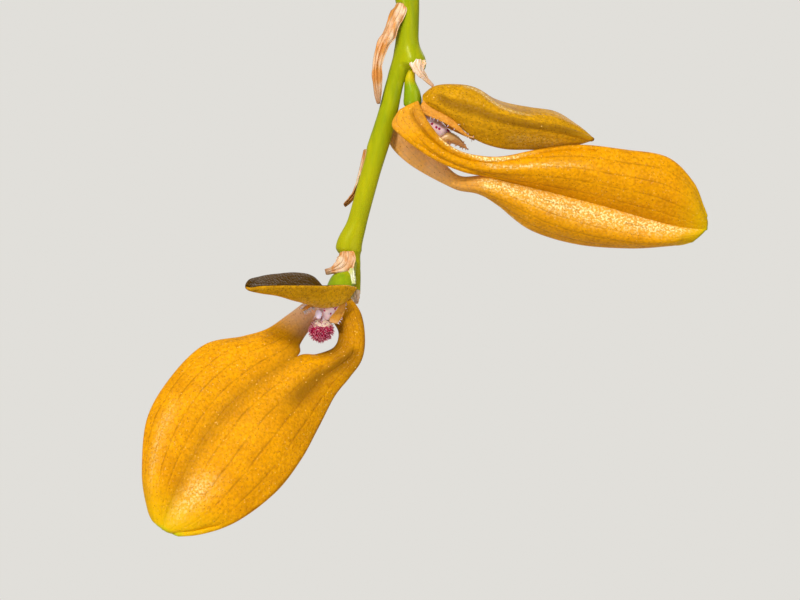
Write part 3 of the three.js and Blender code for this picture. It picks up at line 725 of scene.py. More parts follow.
@dataclass(frozen=True)
class DryPaper(Finish):
    """A dried bract: thin, matt, parchment-like tissue with brown veins and a scorched tip."""

    ground: str = "#d88e3c"
    pale: str = "#f0cda8"
    brown: str = "#9a5f1c"

    def dress(self, pattern: Pattern) -> None:
        """Blends pale and tan patches with brown streaks that follow the bract, darker to its tip.

        Args:
            pattern: the nodes to build on.
        """
        patches = pattern.noise(1.1, 5, 0.35)
        pattern.layer(pattern.ramp(patches, 0.42, 0.62), self.pale)
        lane = pattern.lanes(3.5, 1, pattern.math("MULTIPLY", patches, 1.6))
        pattern.layer(pattern.ramp(lane, 0, 0.3, 0.75, 0), self.brown)
        pattern.layer(pattern.ramp(pattern.mark("along"), 0.72, 1, end=0.8), self.brown)
        pattern.show(pattern.relief(lane, 0.6, 0.15))


@dataclass(frozen=True)
class SpottedWax(Finish):
    """The column: pale, shining, jelly-like tissue with sharp crimson spots."""

    ground: str = "#fdd9da"
    spot: str = "#b3104e"
    spacing: float = 0.5
    spotted: float = 0.5

    def dress(self, pattern: Pattern) -> None:
        """Draws a spot with a ragged outline round the middle of some cells.

        Args:
            pattern: the nodes to build on.
        """
        ragged = pattern.noise(0.3, 2)
        shift = pattern.math("MULTIPLY", ragged, 0.35)
        pattern.layer(pattern.spots(self.spacing, self.spotted, 0.5, 0.58, ragged=shift), self.spot)
        pattern.show(pattern.relief(ragged, 0.5, 0.1))


@dataclass(frozen=True)
class Fringe(Finish):
    """Fleshy hairs, glassy and wet: the ground colour at the foot, another above, and shining tips."""

    ground: str = "#f6dcc4"
    end: str = "#b80d48"
    turn: float = 0.42
    shine: str = "#f7c3d2"
    glow: float = 0.4

    def dress(self, pattern: Pattern) -> None:
        """Blends from foot to end, sooner in blotches and low on the lip, and lightens the tips.

        Args:
            pattern: the nodes to build on.
        """
        tip = pattern.mark("tip")
        shifted = pattern.math("MULTIPLY_ADD", pattern.noise(0.5, 2), 1.6, pattern.mark("low"))
        shifted = pattern.math("MULTIPLY_ADD", tip, 0.4, shifted)
        pattern.layer(pattern.ramp(shifted, self.turn + 0.62, self.turn + 0.82), self.end)
        pattern.layer(pattern.ramp(tip, 0.7, 1, end=self.glow), self.shine)
        pattern.show()


@dataclass(frozen=True)
class BulbSkin(Finish):
    """A pseudobulb: firm waxy skin, green when young and straw-brown when old, with a corky scar."""

    ground: str = "#74902f"
    old: str = "#a48a45"
    stain: str = "#5a4320"
    scar: str = "#4b3420"

    def dress(self, pattern: Pattern) -> None:
        """Blends by age, adds long brown stains that gather at the foot, and the scar on top.

        Args:
            pattern: the nodes to build on.
        """
        p = pattern
        age, along = p.mark("age"), p.mark("along")
        streaks = p.noise(2.4, 6, 0.3)
        p.layer(age, self.old)
        stained = p.math("ADD", streaks, p.ramp(along, 0, 0.5, 0.16, -0.05))
        p.layer(p.ramp(p.math("MULTIPLY_ADD", age, 0.12, stained), 0.56, 0.76, end=0.85), self.stain)
        p.layer(p.ramp(along, 0.9, 0.96), self.scar)
        p.show(p.relief(streaks, 0.7, 0.4))


@dataclass(frozen=True)
class LeafSkin(Finish):
    """A leathery leaf: waxy dark green above, paler and duller below, with fine parallel veins."""

    ground: str = "#3f7226"
    light: str = "#6c9836"
    rib: str = "#87a84c"
    below: str = "#7d9a50"
    dry: str = "#8b6a35"
    veins: float = 15.0

    def dress(self, pattern: Pattern) -> None:
        """Blends cloudy green, veins that follow the blade, the midrib, the underside and a dry tip.

        Args:
            pattern: the nodes to build on.
        """
        p = pattern
        clouds = p.noise(14, 6)
        p.layer(p.ramp(clouds, 0.35, 0.75, end=0.7), self.light)
        lane = p.lanes(self.veins, 1)
        p.layer(p.ramp(lane, 0, 0.35, 0.3, 0), self.light)
        p.layer(p.ramp(p.math("ABSOLUTE", p.mark("across")), 0, 0.09, 0.9, 0), self.rib)
        p.layer(p.mark("under"), self.below)
        p.layer(p.ramp(p.math("MULTIPLY_ADD", clouds, 0.12, p.mark("along")), 1.02, 1.05), self.dry)
        p.show(p.relief(lane, 0.35, 0.15))


@dataclass(frozen=True)
class Cork(Finish):
    """Dead outer tissue: bark, rhizome skin and roots, matt and fibrous, varied from piece to piece."""

    ground: str = "#6b4429"
    light: str = "#a4764c"
    dark: str = "#33200f"
    grain: float = 1.2
    depth: float = 0.5

    def dress(self, pattern: Pattern) -> None:
        """Blends dark and light by grain and by the piece's own tone, with deep fibrous relief.

        Args:
            pattern: the nodes to build on.
        """
        fibre = pattern.noise(self.grain, 8, roughness=0.65)
        pattern.layer(pattern.mark("tone"), self.light)
        pattern.layer(pattern.ramp(fibre, 0.62, 0.38, end=0.85), self.dark)
        pattern.show(pattern.relief(fibre, 0.9, self.depth))


@dataclass(frozen=True)
class Terracotta(Finish):
    """Unglazed fired clay: matt, fine-grained, with pale lime bloom where water has dried."""

    ground: str = "#b8693f"
    deep: str = "#99502c"
    bloom: str = "#d8c3ad"
    grain: float = 0.5

    def dress(self, pattern: Pattern) -> None:
        """Blends firing clouds, lime bloom low on the wall and on the rim, and fine sandy grain.

        Args:
            pattern: the nodes to build on.
        """
        p = pattern
        height = node(p.tree, "ShaderNodeSeparateXYZ", {"Vector": p.place}).outputs["Z"]
        sand = p.noise(self.grain, 3)
        p.layer(p.ramp(p.noise(26, 6), 0.4, 0.65), self.deep)
        # The height is in metres here: the bloom thins out up to 0.05, and comes back on the collar
        damp = p.math("MAXIMUM", p.ramp(height, 0, 0.05, 0.15, 0), p.ramp(height, 0.066, 0.084, end=0.12))
        limed = p.math("ADD", p.noise(9, 9, roughness=0.7), damp)
        p.layer(p.ramp(limed, 0.5, 1, end=0.45), self.bloom)
        p.layer(p.ramp(sand, 0.62, 0.72, end=0.5), self.deep)
        p.show(p.relief(sand, 0.35, 0.2))


# Lateral sepals keep a soft sheen; the dorsal sepal is browner and more densely speckled
LATERAL = SepalFlesh("lateral_sepal_flesh", subsurface=0.08, coat=0.14, coat_roughness=0.14, specular=0.1)
DORSAL = replace(
    LATERAL, name="dorsal_sepal_flesh", coat_roughness=0.16, ground="#d99d0c", deep="#ac7806",
    vein="#7d5306", dot="#6d3f08", tip="#c08a0a", end="#8a5a10", shadow="#7a5006", veins=2.0,
    vein_depth=0.15, dots=0.85, glint_flecks=0.15,
)
PETAL = SepalFlesh(
    "petal_flesh", roughness=0.42, subsurface=0.2, coat=0.2, specular=0.2, ground="#e39f38",
    deep="#cd842c", vein="#b06a35", dot="#a5502f", tip="#e3ae70", end="#e3ae70", veins=1.5,
    vein_depth=0.3, dots=0.3,
)
GREEN_STEM = StemSkin("flower_stem_skin", roughness=0.38, subsurface=0.1, coat=0.08, specular=0.2)
OVARY_SKIN = StemSkin("ovary_skin", roughness=0.3, subsurface=0.15, coat=0.15, specular=0.3,
                      ground="#9fb00a", shade="#7c9a0c")
BRACT_PAPER = DryPaper("dried_bract_paper", roughness=0.62, subsurface=0.1)
# The youngest bracts are still pale and pinkish
PINK_PAPER = replace(BRACT_PAPER, name="pale_bract_paper", roughness=0.6, ground="#f6cba0",
                     pale="#fff1e6", brown="#dd9c60")
# A pale skin on the ovary's foot, partly the skin left where the lowest bract sat and partly a painted
# highlight
PAINTED_HIGHLIGHT_MEMBRANE = DryPaper("pale_membrane_highlight", roughness=0.4, ground="#dfe08a", pale="#f6f3dc", brown="#cfd07a")
SHEATH_PAPER = DryPaper("dry_sheath_paper", roughness=0.75, ground="#a98457", pale="#cfb48b",
                        brown="#6b4523")
COLUMN_WAX = SpottedWax("column_wax", roughness=0.25, subsurface=0.3, coat=0.4)
ANTHER_WAX = SpottedWax("anther_cap_wax", roughness=0.25, subsurface=0.1, coat=0.3, ground="#f0dcee",
                        spotted=0.0)
LIP_FRINGE = Fringe("lip_papillae", roughness=0.28, subsurface=0.15, coat=0.2)
TAN_LIP = replace(LIP_FRINGE, name="tan_lip_flesh", roughness=0.35, ground="#dcae66", end="#c98a45")
PALE_FRINGE = Fringe("petal_fringe", roughness=0.25, subsurface=0.3, coat=0.2, ground="#fff6f4",
                     end="#f2a9cc", turn=0.6)
BULB_GREEN = BulbSkin("pseudobulb_skin", roughness=0.38, subsurface=0.1, coat=0.1)
LEATHER_LEAF = LeafSkin("leaf_skin", roughness=0.36, subsurface=0.08, coat=0.12)
RHIZOME_CORK = Cork("rhizome_cork", roughness=0.85, ground="#7d5a35", light="#b08a5a", dark="#3f2a17")
ROOT_SKIN = Cork("root_skin", roughness=0.8, ground="#b29a78", light="#d8cbb0", dark="#6e5638", depth=0.2)
BARK = Cork("pine_bark", roughness=0.92, grain=1.6, depth=0.9)
CLAY = Terracotta("fired_clay", roughness=0.88)


def lay(name: str, form: Form, finish: Finish, slot: str, *nodes: str) -> bpy.types.Object:
    """Makes one piece from a form, dresses it, and hands it to the frame.

    Args:
        name: the piece's name.
        form: its surface.
        finish: its finish.
        slot: the name of its material slot; not used.
        nodes: the frame's nodes that it stands for.

    Returns:
        The new object, which rides on the frame's body.
    """
    mesh = bpy.data.meshes.new(name)
    corners = np.concatenate([form.quads.reshape(-1), form.tris.reshape(-1)])
    totals = np.concatenate([np.full(len(form.quads), 4), np.full(len(form.tris), 3)])
    mesh.vertices.add(len(form.points))
    mesh.vertices.foreach_set("co", (form.points * MM).astype(np.float32).ravel())
    mesh.loops.add(len(corners))
    mesh.loops.foreach_set("vertex_index", corners.astype(np.int32))
    mesh.polygons.add(len(totals))
    mesh.polygons.foreach_set("loop_start", np.concatenate([[0], totals.cumsum()[:-1]]).astype(np.int32))
    mesh.polygons.foreach_set("use_smooth", np.ones(len(totals), bool))
    for mark, values in form.marks.items():
        mesh.attributes.new(mark, "FLOAT", "POINT").data.foreach_set("value", values.astype(np.float32))
    mesh.update(calc_edges=True)
    mesh.validate()
    mesh.materials.append(finish.material())
    piece = bpy.data.objects.new(name, mesh)
    bpy.context.scene.collection.objects.link(piece)
    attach(piece, BODY)
    if nodes:
        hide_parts(*nodes)
    log.info("%s: %d faces", name, len(totals))
    return piece


# The pot and what is in it


@dataclass(frozen=True)
class ClayPot:
    """A plain clay pot with a collar and four drain holes."""

    height: float = 86
    collar_bottom: float = 66
    base_radius: float = 38
    wall_top_radius: float = 52.5
    collar_bottom_radius: float = 56
    rim_radius: float = 58
    floor: float = 6
    inner_floor_radius: float = 34
    inner_rim_radius: float = 52.5
    edge: float = 1.2
    drain_radius: float = 4
    drain_circle: float = 20
    drain_count: int = 4

    def inside(self, height: float) -> float:
        """The radius of the inner wall at a height."""
        share = (height - self.floor) / (self.height - self.floor)
        return self.inner_floor_radius + share * (self.inner_rim_radius - self.inner_floor_radius)

    def profile(self) -> np.ndarray:
        """The outline from the middle of the foot round to the middle of the floor, with worn edges.

        Each corner of a short list is cut back by its own length and bridged by a quadratic arc.

        Returns:
            Rows of radius and height.
        """
        middle, step = 0.4, 2.2
        corners = np.array([
            (middle, 0), (self.base_radius, 0), (self.wall_top_radius, self.collar_bottom),
            (self.collar_bottom_radius, self.collar_bottom), (self.rim_radius, self.height),
            (self.inner_rim_radius, self.height), (self.inner_floor_radius, self.floor), (middle, self.floor),
        ])
        cuts = (0, self.edge, 0.5, self.edge, self.edge * 1.3, self.edge * 1.2, self.edge * 2, 0)
        t = np.linspace(0, 1, 7)[:, None]
        lines = []
        for i, (corner, cut) in enumerate(zip(corners, cuts)):
            if cut == 0:
                lines.append(corner[None])
                continue
            before = corner + unit(corners[i - 1] - corner) * cut
            after = corner + unit(corners[i + 1] - corner) * cut
            lines.append(before * (1 - t) ** 2 + corner * 2 * t * (1 - t) + after * t**2)
        coarse = np.concatenate(lines)
        parts = []
        for a, b in zip(coarse[:-1], coarse[1:]):
            count = max(1, round(np.linalg.norm(b - a) / step))
            parts.append(a + (b - a) * np.linspace(0, 1, count, endpoint=False)[:, None])
        return np.concatenate([*parts, coarse[-1:]])

    def build(self) -> None:
        """Turns the outline round the axis, adds faint throwing lines and cuts the drain holes."""
        radius, height = self.profile().T[..., None]
        angle = circle(144)
        seen = smoothstep(radius, self.base_radius - 3, self.base_radius - 1)
        around = turned(radius, angle, height)
        thrown = 0.12 * wander(around, (40, 40, 2.4), 3) + 0.22 * wander(around, 24, 4) - 0.25
        grid = turned(radius + seen * thrown, angle, height)
        pot = lay("pot_clay", rings(grid[:, ::-1]), CLAY, "terracotta", "pot")
        past = 3
        for i in range(self.drain_count):
            turn = (i + 0.5) / self.drain_count * 2 * math.pi
            line = turned(self.drain_circle, turn, np.array([-past, self.floor + past]))
            drill = tube(line, np.full(2, self.drain_radius), 40)
            cutter = lay(f"drain_cutter_{i}", drill, CLAY, "terracotta")
            hole = pot.modifiers.new(cutter.name, "BOOLEAN")
            hole.operation, hole.solver, hole.object = "DIFFERENCE", "EXACT", cutter
        cut = bpy.data.meshes.new_from_object(pot.evaluated_get(bpy.context.evaluated_depsgraph_get()))
        for modifier in list(pot.modifiers):
            cutter = modifier.object
            pot.modifiers.remove(modifier)
            bpy.data.objects.remove(cutter)
        pot.data = cut


@dataclass(frozen=True)
class Bulb:
    """One pseudobulb: where it sits, its size, how its ribs are turned and how old it is."""

    x: float
    y: float
    radius: float
    height: float
    turn: float
    age: float


BULBS = (
    Bulb(-42, 11, 6.8, 17, 0.4, 1.0),
    Bulb(-25, 3, 8.2, 21, 1.1, 0.85),
    Bulb(-6, -3, 9, 23, 2.0, 0.6),
    Bulb(14, -8, 9.2, 25, 0.2, 0.25),
    Bulb(34, -11.5, 8.8, 24, 1.5, 0.0),
    Bulb(-10, 20, 8.4, 22, 2.7, 0.5),
    Bulb(9, 26, 9, 24, 0.9, 0.1),
)
RHIZOME_HEIGHT = 76.0
RHIZOME_RADIUS = 2.2
BULB_FOOT = RHIZOME_HEIGHT + RHIZOME_RADIUS * 1.12 + 0.3


@dataclass(frozen=True)
class BarkBed:
    """Pine bark that fills the pot: a rough bed with loose chips lying on it."""

    top: float = 74.6
    gap: float = 0.5
    chips: int = 330
    reach: float = 48.5
    keep_off: float = 1.2
    squareness: float = 0.42

    def bed(self, pot: ClayPot) -> Form:
        """A plug inside the pot: discs up the wall and over a bumpy top.

        Args:
            pot: the pot that it fills.

        Returns:
            The bed, with the mark tone.
        """
        bottom = pot.floor + self.gap
        wall = np.array([(pot.inside(z) - self.gap - 0.4, z) for z in np.linspace(bottom, self.top, 14)])
        lid = np.stack([np.linspace(wall[-1, 0], 1, 26)[1:], np.full(25, self.top)], axis=1)
        base = np.stack([np.linspace(1, wall[0, 0], 5)[:-1], np.full(4, bottom)], axis=1)
        radius, height = np.concatenate([base, wall, lid]).T[..., None]
        grid = turned(radius, circle(120), height)
        on_top = (height > self.top - 0.1).astype(float)
        grid[..., 2] += on_top * (1.1 * wander(grid, 5, 11) + 0.6 * wander(grid, 2, 12))
        return rings(grid, tone=0.5 + 0.5 * wander(grid, 6, 13))

    def loose(self, pot: ClayPot) -> Form:
        """Loose chips in one form, spread by the golden angle and clear of the bulbs and the wall.

        Each chip is a box with rounded edges: a ball's directions raised to a small power, which
        squares them off, times the chip's half sizes, then roughened, turned and put in its place.

        Args:
            pot: the pot that keeps them in.

        Returns:
            The chips, each with its own tone.
        """
        random = np.random.default_rng(23)
        count = self.chips
        number = np.arange(count)
        golden = math.pi * (3 - math.sqrt(5))
        x, y, _ = turned(self.reach * np.sqrt((number + 0.5) / count), number * golden, 0).T
        x, y = x + random.normal(0, 0.8, count), y + random.normal(0, 0.8, count)
        z = self.top + 0.8 + 2.6 * random.random(count) ** 1.5
        half = np.stack([2.2 + 3.4 * random.random(count), 1.5 + 2.0 * random.random(count),
                         0.7 + 1.1 * random.random(count)], axis=1)
        pitch, roll = random.normal(0, 0.3, count), random.normal(0, 0.3, count)
        yaw, tone = random.random(count) * math.pi, random.random(count)
        clear = np.hypot(x, y) + half[:, 0] < pot.inner_rim_radius
        for bulb in BULBS:
            away = np.hypot(x - bulb.x, y - bulb.y)
            clear &= (away > bulb.radius * 0.75 + self.keep_off) | (z + half[:, 2] < BULB_FOOT - 1.5)
        rise = math.pi * np.linspace(0.06, 0.94, 7)[:, None]
        ball = turned(np.sin(rise), circle(12), -np.cos(rise))
        boxy = np.sign(ball) * np.abs(ball) ** self.squareness
        forms = []
        for i in np.flatnonzero(clear):
            turn = np.array(Euler((roll[i], pitch[i], yaw[i])).to_matrix())
            shape = boxy * half[i] * (1 + 0.16 * wander(boxy * half[i] + i * 9.7, 2.2, 17))[..., None]
            forms.append(rings(shape @ turn.T + np.array([x[i], y[i], z[i]])).marked(tone=tone[i]))
        return joined(*forms)

    def build(self, pot: ClayPot) -> None:
        """Lays the bed and its chips as one piece."""
        lay("bark_bed", joined(self.bed(pot), self.loose(pot)), BARK, "bark", "potting_mix")


@dataclass(frozen=True)
class Rhizome:
    """The creeping stem that carries the bulbs, ringed by old scars, and its wiry roots."""

    radius: float = RHIZOME_RADIUS
    ring_pitch: float = 3.6
    roots_each: int = 3
    within: float = 44.0
    ring_depth: float = 0.22
    root_radius: float = 0.85
    root_thinning: float = 0.35

    def run(self, points: Points) -> Form:
        """One ringed run: the radius rises to a sharp scar at each ring and falls slowly after it.

        Args:
            points: where it passes.

        Returns:
            The run as a closed tube.
        """
        length = run_along(np.array(points))[-1]
        u = np.linspace(0, 1, round(length / 0.4))
        line = line_through(points, u)
        saw = (u * length / self.ring_pitch) % 1
        closing = np.sqrt(np.clip(np.minimum(u, 1 - u) * length / self.radius, 0.05, 1))
        ringed = self.radius * (0.9 + self.ring_depth * saw**3)
        radius = ringed * closing * (1 + 0.06 * wander(line * 2, 3, 31))
        return tube(line, radius, 20).marked(tone=0.4)

    def roots(self) -> Form:
        """Wiry roots that leave the rhizome under each bulb, run over the bark and dive into it.

        Returns:
            All roots in one form, each with its own tone.
        """
        random = np.random.default_rng(5)
        forms = []
        # Shares of a root's reach, heights over the rhizome, and shares of its bend
        stations = ((0, -0.6, 0), (0.3, 1.6, 0.2), (0.6, 2.2, 0.7), (0.85, 0.6, 1.1), (1.1, -4, 1.3))
        u = np.linspace(0, 1, 50)
        for bulb in BULBS:
            home = math.atan2(-bulb.y, -bulb.x)
            for _ in range(self.roots_each):
                heading = home + (random.random() - 0.5) * 4.6
                reach, bend = 12 + 12 * random.random(), (random.random() - 0.5) * 12
                ahead = np.array([math.cos(heading), math.sin(heading), 0])
                aside = np.array([-ahead[1], ahead[0], 0])
                start = np.array([bulb.x, bulb.y, RHIZOME_HEIGHT])
                line = line_through([start + ahead * reach * a + aside * bend * c + UP * h
                                     for a, h, c in stations], u)
                line[:, :2] += 0.35 * np.stack([wander(line, 4, 41), wander(line, 4, 42)], axis=1)
                line[:, :2] *= np.minimum(1, self.within / np.linalg.norm(line[:, :2], axis=1))[:, None]
                radius = self.root_radius - self.root_thinning * u
                forms.append(tube(line, radius, 9).marked(tone=0.2 + 0.7 * random.random()))
        return joined(*forms)

    def build(self) -> None:
        """Lays both runs and the roots."""
        at = [np.array([b.x, b.y, RHIZOME_HEIGHT]) for b in BULBS]
        first = (at[0] + (-1, 0.5, 0), *at[1:5], at[4] + (7, -1, 0))
        branch = (at[1], at[5] + (-9, -9, 0), at[5], at[6], at[6] + (8, 3, 0))
        lay("rhizome_runs", joined(self.run(first), self.run(branch)), RHIZOME_CORK, "rhizome", "rhizome")
        lay("rhizome_roots", self.roots(), ROOT_SKIN, "rhizome")


@dataclass(frozen=True)
class Pseudobulb:
    """A pseudobulb's surface and the torn sheath round its foot."""

    number: int
    bulb: Bulb
    rib_count: int = 4
    rib_depth: float = 0.055
    paper: float = 0.3
    outline: Points = (
        (0.3, 0), (0.62, 0.005), (0.88, 0.1), (1, 0.3), (0.93, 0.52), (0.7, 0.76), (0.42, 0.92),
        (0.26, 0.985), (0.12, 1.01),
    )

    def placed(self, radius: np.ndarray, angle: np.ndarray, height: np.ndarray) -> np.ndarray:
        """Points round the bulb's own axis, at heights above its foot."""
        return turned(radius, angle, BULB_FOOT + height) + np.array([self.bulb.x, self.bulb.y, 0])

    def skin(self) -> Form:
        """The egg shape turned round its axis, with four ribs and finer creases that age deepens.

        Returns:
            The skin, with the marks along and age.
        """
        b = self.bulb
        radius, share = line_through(self.outline, np.linspace(0, 1, 70)).T[..., None]
        angle = circle(96)
        fullness = np.sin(math.pi * np.clip(share, 0, 1))
        rib = self.rib_depth * np.cos(self.rib_count * angle + b.turn) * fullness
        crease = wander(turned(9, angle, share * 9), (1.6, 1.6, 16), 50 + self.number) * fullness
        crease = -np.abs(crease) * (0.03 + 0.07 * b.age)
        radius = b.radius * radius * (1 + rib + crease + 0.02)
        grid = self.placed(radius, angle, share * (b.height + 0.3) - 0.6)
        return rings(grid, along=share).marked(age=b.age)

    def sheath(self) -> Form:
        """The torn papery sheath: a skirt that hugs the foot and ends in ragged teeth.

        Returns:
            The sheath as a thin blade.
        """
        b = self.bulb
        angle = np.linspace(0, 2 * math.pi * 0.93, 90) + b.turn * 2
        v = np.linspace(0, 1, 16)[:, None]
        at = turned(6, angle, 0)
        tear = 0.26 + 0.11 * wander(at, 1.1, 60 + self.number) + 0.06 * wander(at, 0.5, 70 + self.number)
        share = -0.02 + v * (0.02 + tear)
        wide, high = line_through(self.outline, np.linspace(0, 1, 80)).T
        flare = 0.35 + 0.9 * v**3 * (0.6 + wander(at, 1.6, 80 + self.number))
        radius = b.radius * np.interp(np.clip(share, 0, 1), high, wide) * 1.07 + flare
        grid = self.placed(radius, angle, share * b.height - 0.8)
        return blade(grid, self.paper, along=v * 0.9, across=angle * 2.2)

    def build(self) -> None:
        """Lays the bulb and its sheath."""
        name = f"pseudobulb_{self.number}"
        lay(f"{name}_skin", self.skin(), BULB_GREEN, "pseudobulb", name)
        lay(f"{name}_sheath", self.sheath(), SHEATH_PAPER, "dry_bract")


@dataclass(frozen=True)
class Leaf:
    """One leathery leaf on the top of a bulb, with its angles in degrees."""

    number: int
    bulb: int
    heading: float
    lean: float
    arch: float
    length: float
    width: float
    wave: float
    thickness: float = 0.8
    foot_half: float = 1.6
    midrib: float = 0.35

    def form(self) -> Form:
        """The blade.

        Its middle line is a circular arc that leans out from the bulb. Across it the blade rises on both
        sides of the midrib, folded more at the foot, and its edges ripple by the square of the share.

        Returns:
            The blade, with the marks along and across.
        """
        b = BULBS[self.bulb]
        heading, start, bend = map(math.radians, (self.heading, self.lean, self.arch))
        outward = np.array([math.cos(heading), math.sin(heading), 0])
        across = np.array([-outward[1], outward[0], 0])
        s = np.linspace(0, 1, 130)[:, None]
        v = (crowded(41) * 2 - 1)[None]
        tilt = start + bend * s
        out = 1.3 + self.length / bend * (math.cos(start) - np.cos(tilt))
        rise = self.length / bend * (np.sin(tilt) - math.sin(start))
        foot = np.array([b.x, b.y, BULB_FOOT + b.height * 0.97])
        face = np.concatenate([-np.cos(tilt) * outward[:2], np.sin(tilt)], axis=1)[:, None]
        middle = foot + out[:, None] * outward + rise[:, None] * UP
        full = np.sin(math.pi * s**0.86) ** 0.8
        half = self.foot_half - 0.8 * s + (self.width / 2 - 1.2) * full
        half = half * np.sqrt(np.clip(1 - smoothstep(s, 0.97, 1.0) ** 2, 0.03, 1))
        fold = np.radians(48 - 34 * np.minimum(1, s * 2.2))
        ripple = 1.1 * full * v**2 * np.sin(s * 9 + self.wave + np.where(v > 0, 1.3, 0))
        crease = np.sqrt(v**2 + 0.0016)
        keel = self.midrib * bell(v, 0, 0.09) * (1 - 0.7 * s)
        aside = v * half * np.cos(fold)
        lift = crease * half * np.sin(fold) + ripple - keel
        grid = middle + across * aside[..., None] + face * lift[..., None]
        grid += 0.12 * wander(grid, 6, self.number)[..., None] * face
        return blade(grid, self.thickness, along=s, across=v)

    def build(self) -> None:
        """Lays the leaf."""
        lay(f"leaf_{self.number}_blade", self.form(), LEATHER_LEAF, "leaf", f"leaf_{self.number}")


LEAVES = (
    Leaf(1, 3, -85, 16, 66, 92, 25, 0.3),
    Leaf(2, 3, 158, 12, 40, 82, 22, 1.7),
    Leaf(3, 4, -25, 22, 72, 100, 27, 2.6),
    Leaf(4, 4, 96, 10, 36, 88, 23, 3.9),
    Leaf(5, 6, 78, 20, 64, 92, 25, 5.1),
    Leaf(6, 6, 192, 12, 36, 78, 21, 0.9),
)


# The flower stem and its bracts

# Points of the stem's middle line, each with the stem's radius there
STEM = (
    (-9.5, -5.6, 75.4, 1.8), (-15, -10.4, 80, 1.8), (-17, -12, 94, 1.65), (-17.5, -11.2, 124, 1.55),
    (-20, -10, 168, 1.5), (-27, -10, 214, 1.5), (-42, -10, 252, 1.5), (-62, -10, 276, 1.5),
    (-84, -10, 285, 1.55), (-98.5, -10, 275, 1.5), (-103.6, -10, 255, 1.4), (-103.9, -10, 241, 1.4),
    (-103.9, -10, 234, 1.5), (-104.3, -10, 228.4, 1.55), (-105.6, -10, 224.6, 1.18),
    (-107, -10, 218.7, 1.33), (-109, -10, 212, 1.28), (-110.8, -10, 205.3, 1.3),
    (-111.6, -10, 201.6, 1.45), (-111, -9.9, 199.2, 0.66), (-110.85, -9.8, 195.8, 0.5),
)
STEM_LINE = np.array(STEM)[:, :3]
STEM_RADII = tuple(point[3] for point in STEM)


@dataclass(frozen=True)
class Shoulder:
    """A swelling of the stem above a node: where, towards what side and how far."""

    height: float
    toward: Triple
    reach: float
    above: float = 3.2
    below: float = 0.8


@dataclass(frozen=True)
class FlowerStem:
    """The whole flower stem, from the bark to its dried tip."""

    shoulders: tuple[Shoulder, ...] = (
        Shoulder(227.2, (1, -0.3, 0), 2.0, 1.7, 0.45),
        Shoulder(235.6, (-1, -0.4, 0), 0.35),
        Shoulder(215.4, (-1, 0.5, 0), 0.25),
        Shoulder(202.0, (-1, -0.3, 0), 0.7, 2.4, 0.6),
    )
    sides: int = 28
    ribs: int = 5
    rib_depth: float = 0.012

    def form(self) -> Form:
        """Circles round the stem's line, with faint ribs, and shoulders where the skin swells.

        A shoulder adds its reach times a bell of the height, wide above and short below, times how far
        the skin there faces its side.

        Returns:
            The stem, with the marks warm at its foot and gold near its tip.
        """
        u = np.linspace(0, 1, 900)
        line = line_through(STEM_LINE, u, even=False)
        side, across = frames_along(line)
        angle = circle(self.sides)
        facing = side[:, None] * np.cos(angle)[:, None] + across[:, None] * np.sin(angle)[:, None]
        radius = read_off(STEM_RADII, u)[:, None] * (1 + self.rib_depth * np.cos(self.ribs * angle))
        hanging = u > 0.5
        for shoulder in self.shoulders:
            gap = line[:, 2] - shoulder.height
            swell = shoulder.reach * bell(gap, 0, np.where(gap > 0, shoulder.above, shoulder.below)) * hanging
            toward = np.clip(facing @ unit(np.array(shoulder.toward, float)), 0, 1) ** 1.5
            radius = radius + swell[:, None] * toward
        radius = radius * (1 + 0.015 * wander(line * 1.3, 4, 91)[:, None])
        height = line[:, 2:]
        warm = smoothstep(height, 190, 95) * ~hanging[:, None] * 0.75
        gold = smoothstep(height, 224, 206) * hanging[:, None] * 0.28
        return tube(line, radius, self.sides, warm=warm, gold=gold)

    def build(self) -> None:
        """Lays the stem."""
        lay("flower_stem_skin", self.form(), GREEN_STEM, "green_stem", "flower_stem")


@dataclass(frozen=True)
class Bract:
    """A dried bract or sheath: a pointed paper strip along a line, cupped and crumpled."""

    name: str
    path: Points
    half_width: tuple[float, ...]
    facing: Triple
    cup: float = 0.35
    crumple: float = 0.3
    thickness: float = 0.16
    raggedness: float = 0.12
    finish: DryPaper = BRACT_PAPER

    def form(self) -> Form:
        """Rows across the line, each cupped by the square of the share and shaken by noise.

        Returns:
            The bract as a thin blade.
        """
        u, line, front, across, v = laid_out(self.path, self.facing, 80, 25)
        half = read_off(self.half_width, u)[:, None, None]
        seed = sum(map(ord, self.name))
        wide, far = np.broadcast_arrays(v * 3, u[:, None] * 6)
        flat = np.stack([wide, far, 0 * far], axis=2)
        pleat = wander(flat, (0.9, 4, 1), seed) + 0.5 * wander(flat, (0.45, 2, 1), seed + 1)
        ragged = 1 + self.raggedness * wander(flat * 2, (5, 0.8, 1), seed + 2)[..., None]
        aside = v[None, :, None]
        grid = line[:, None] + across[:, None] * aside * half * ragged
        grid += front * (-self.cup * half * aside**2 + self.crumple * pleat[..., None] * np.minimum(1, half))
        return blade(grid, self.thickness, along=u[:, None], across=v)

    def build(self, *nodes: str) -> None:
        """Lays the bract in place of the frame's nodes."""
        lay(f"{self.name}_paper", self.form(), self.finish, "dry_bract", *nodes)


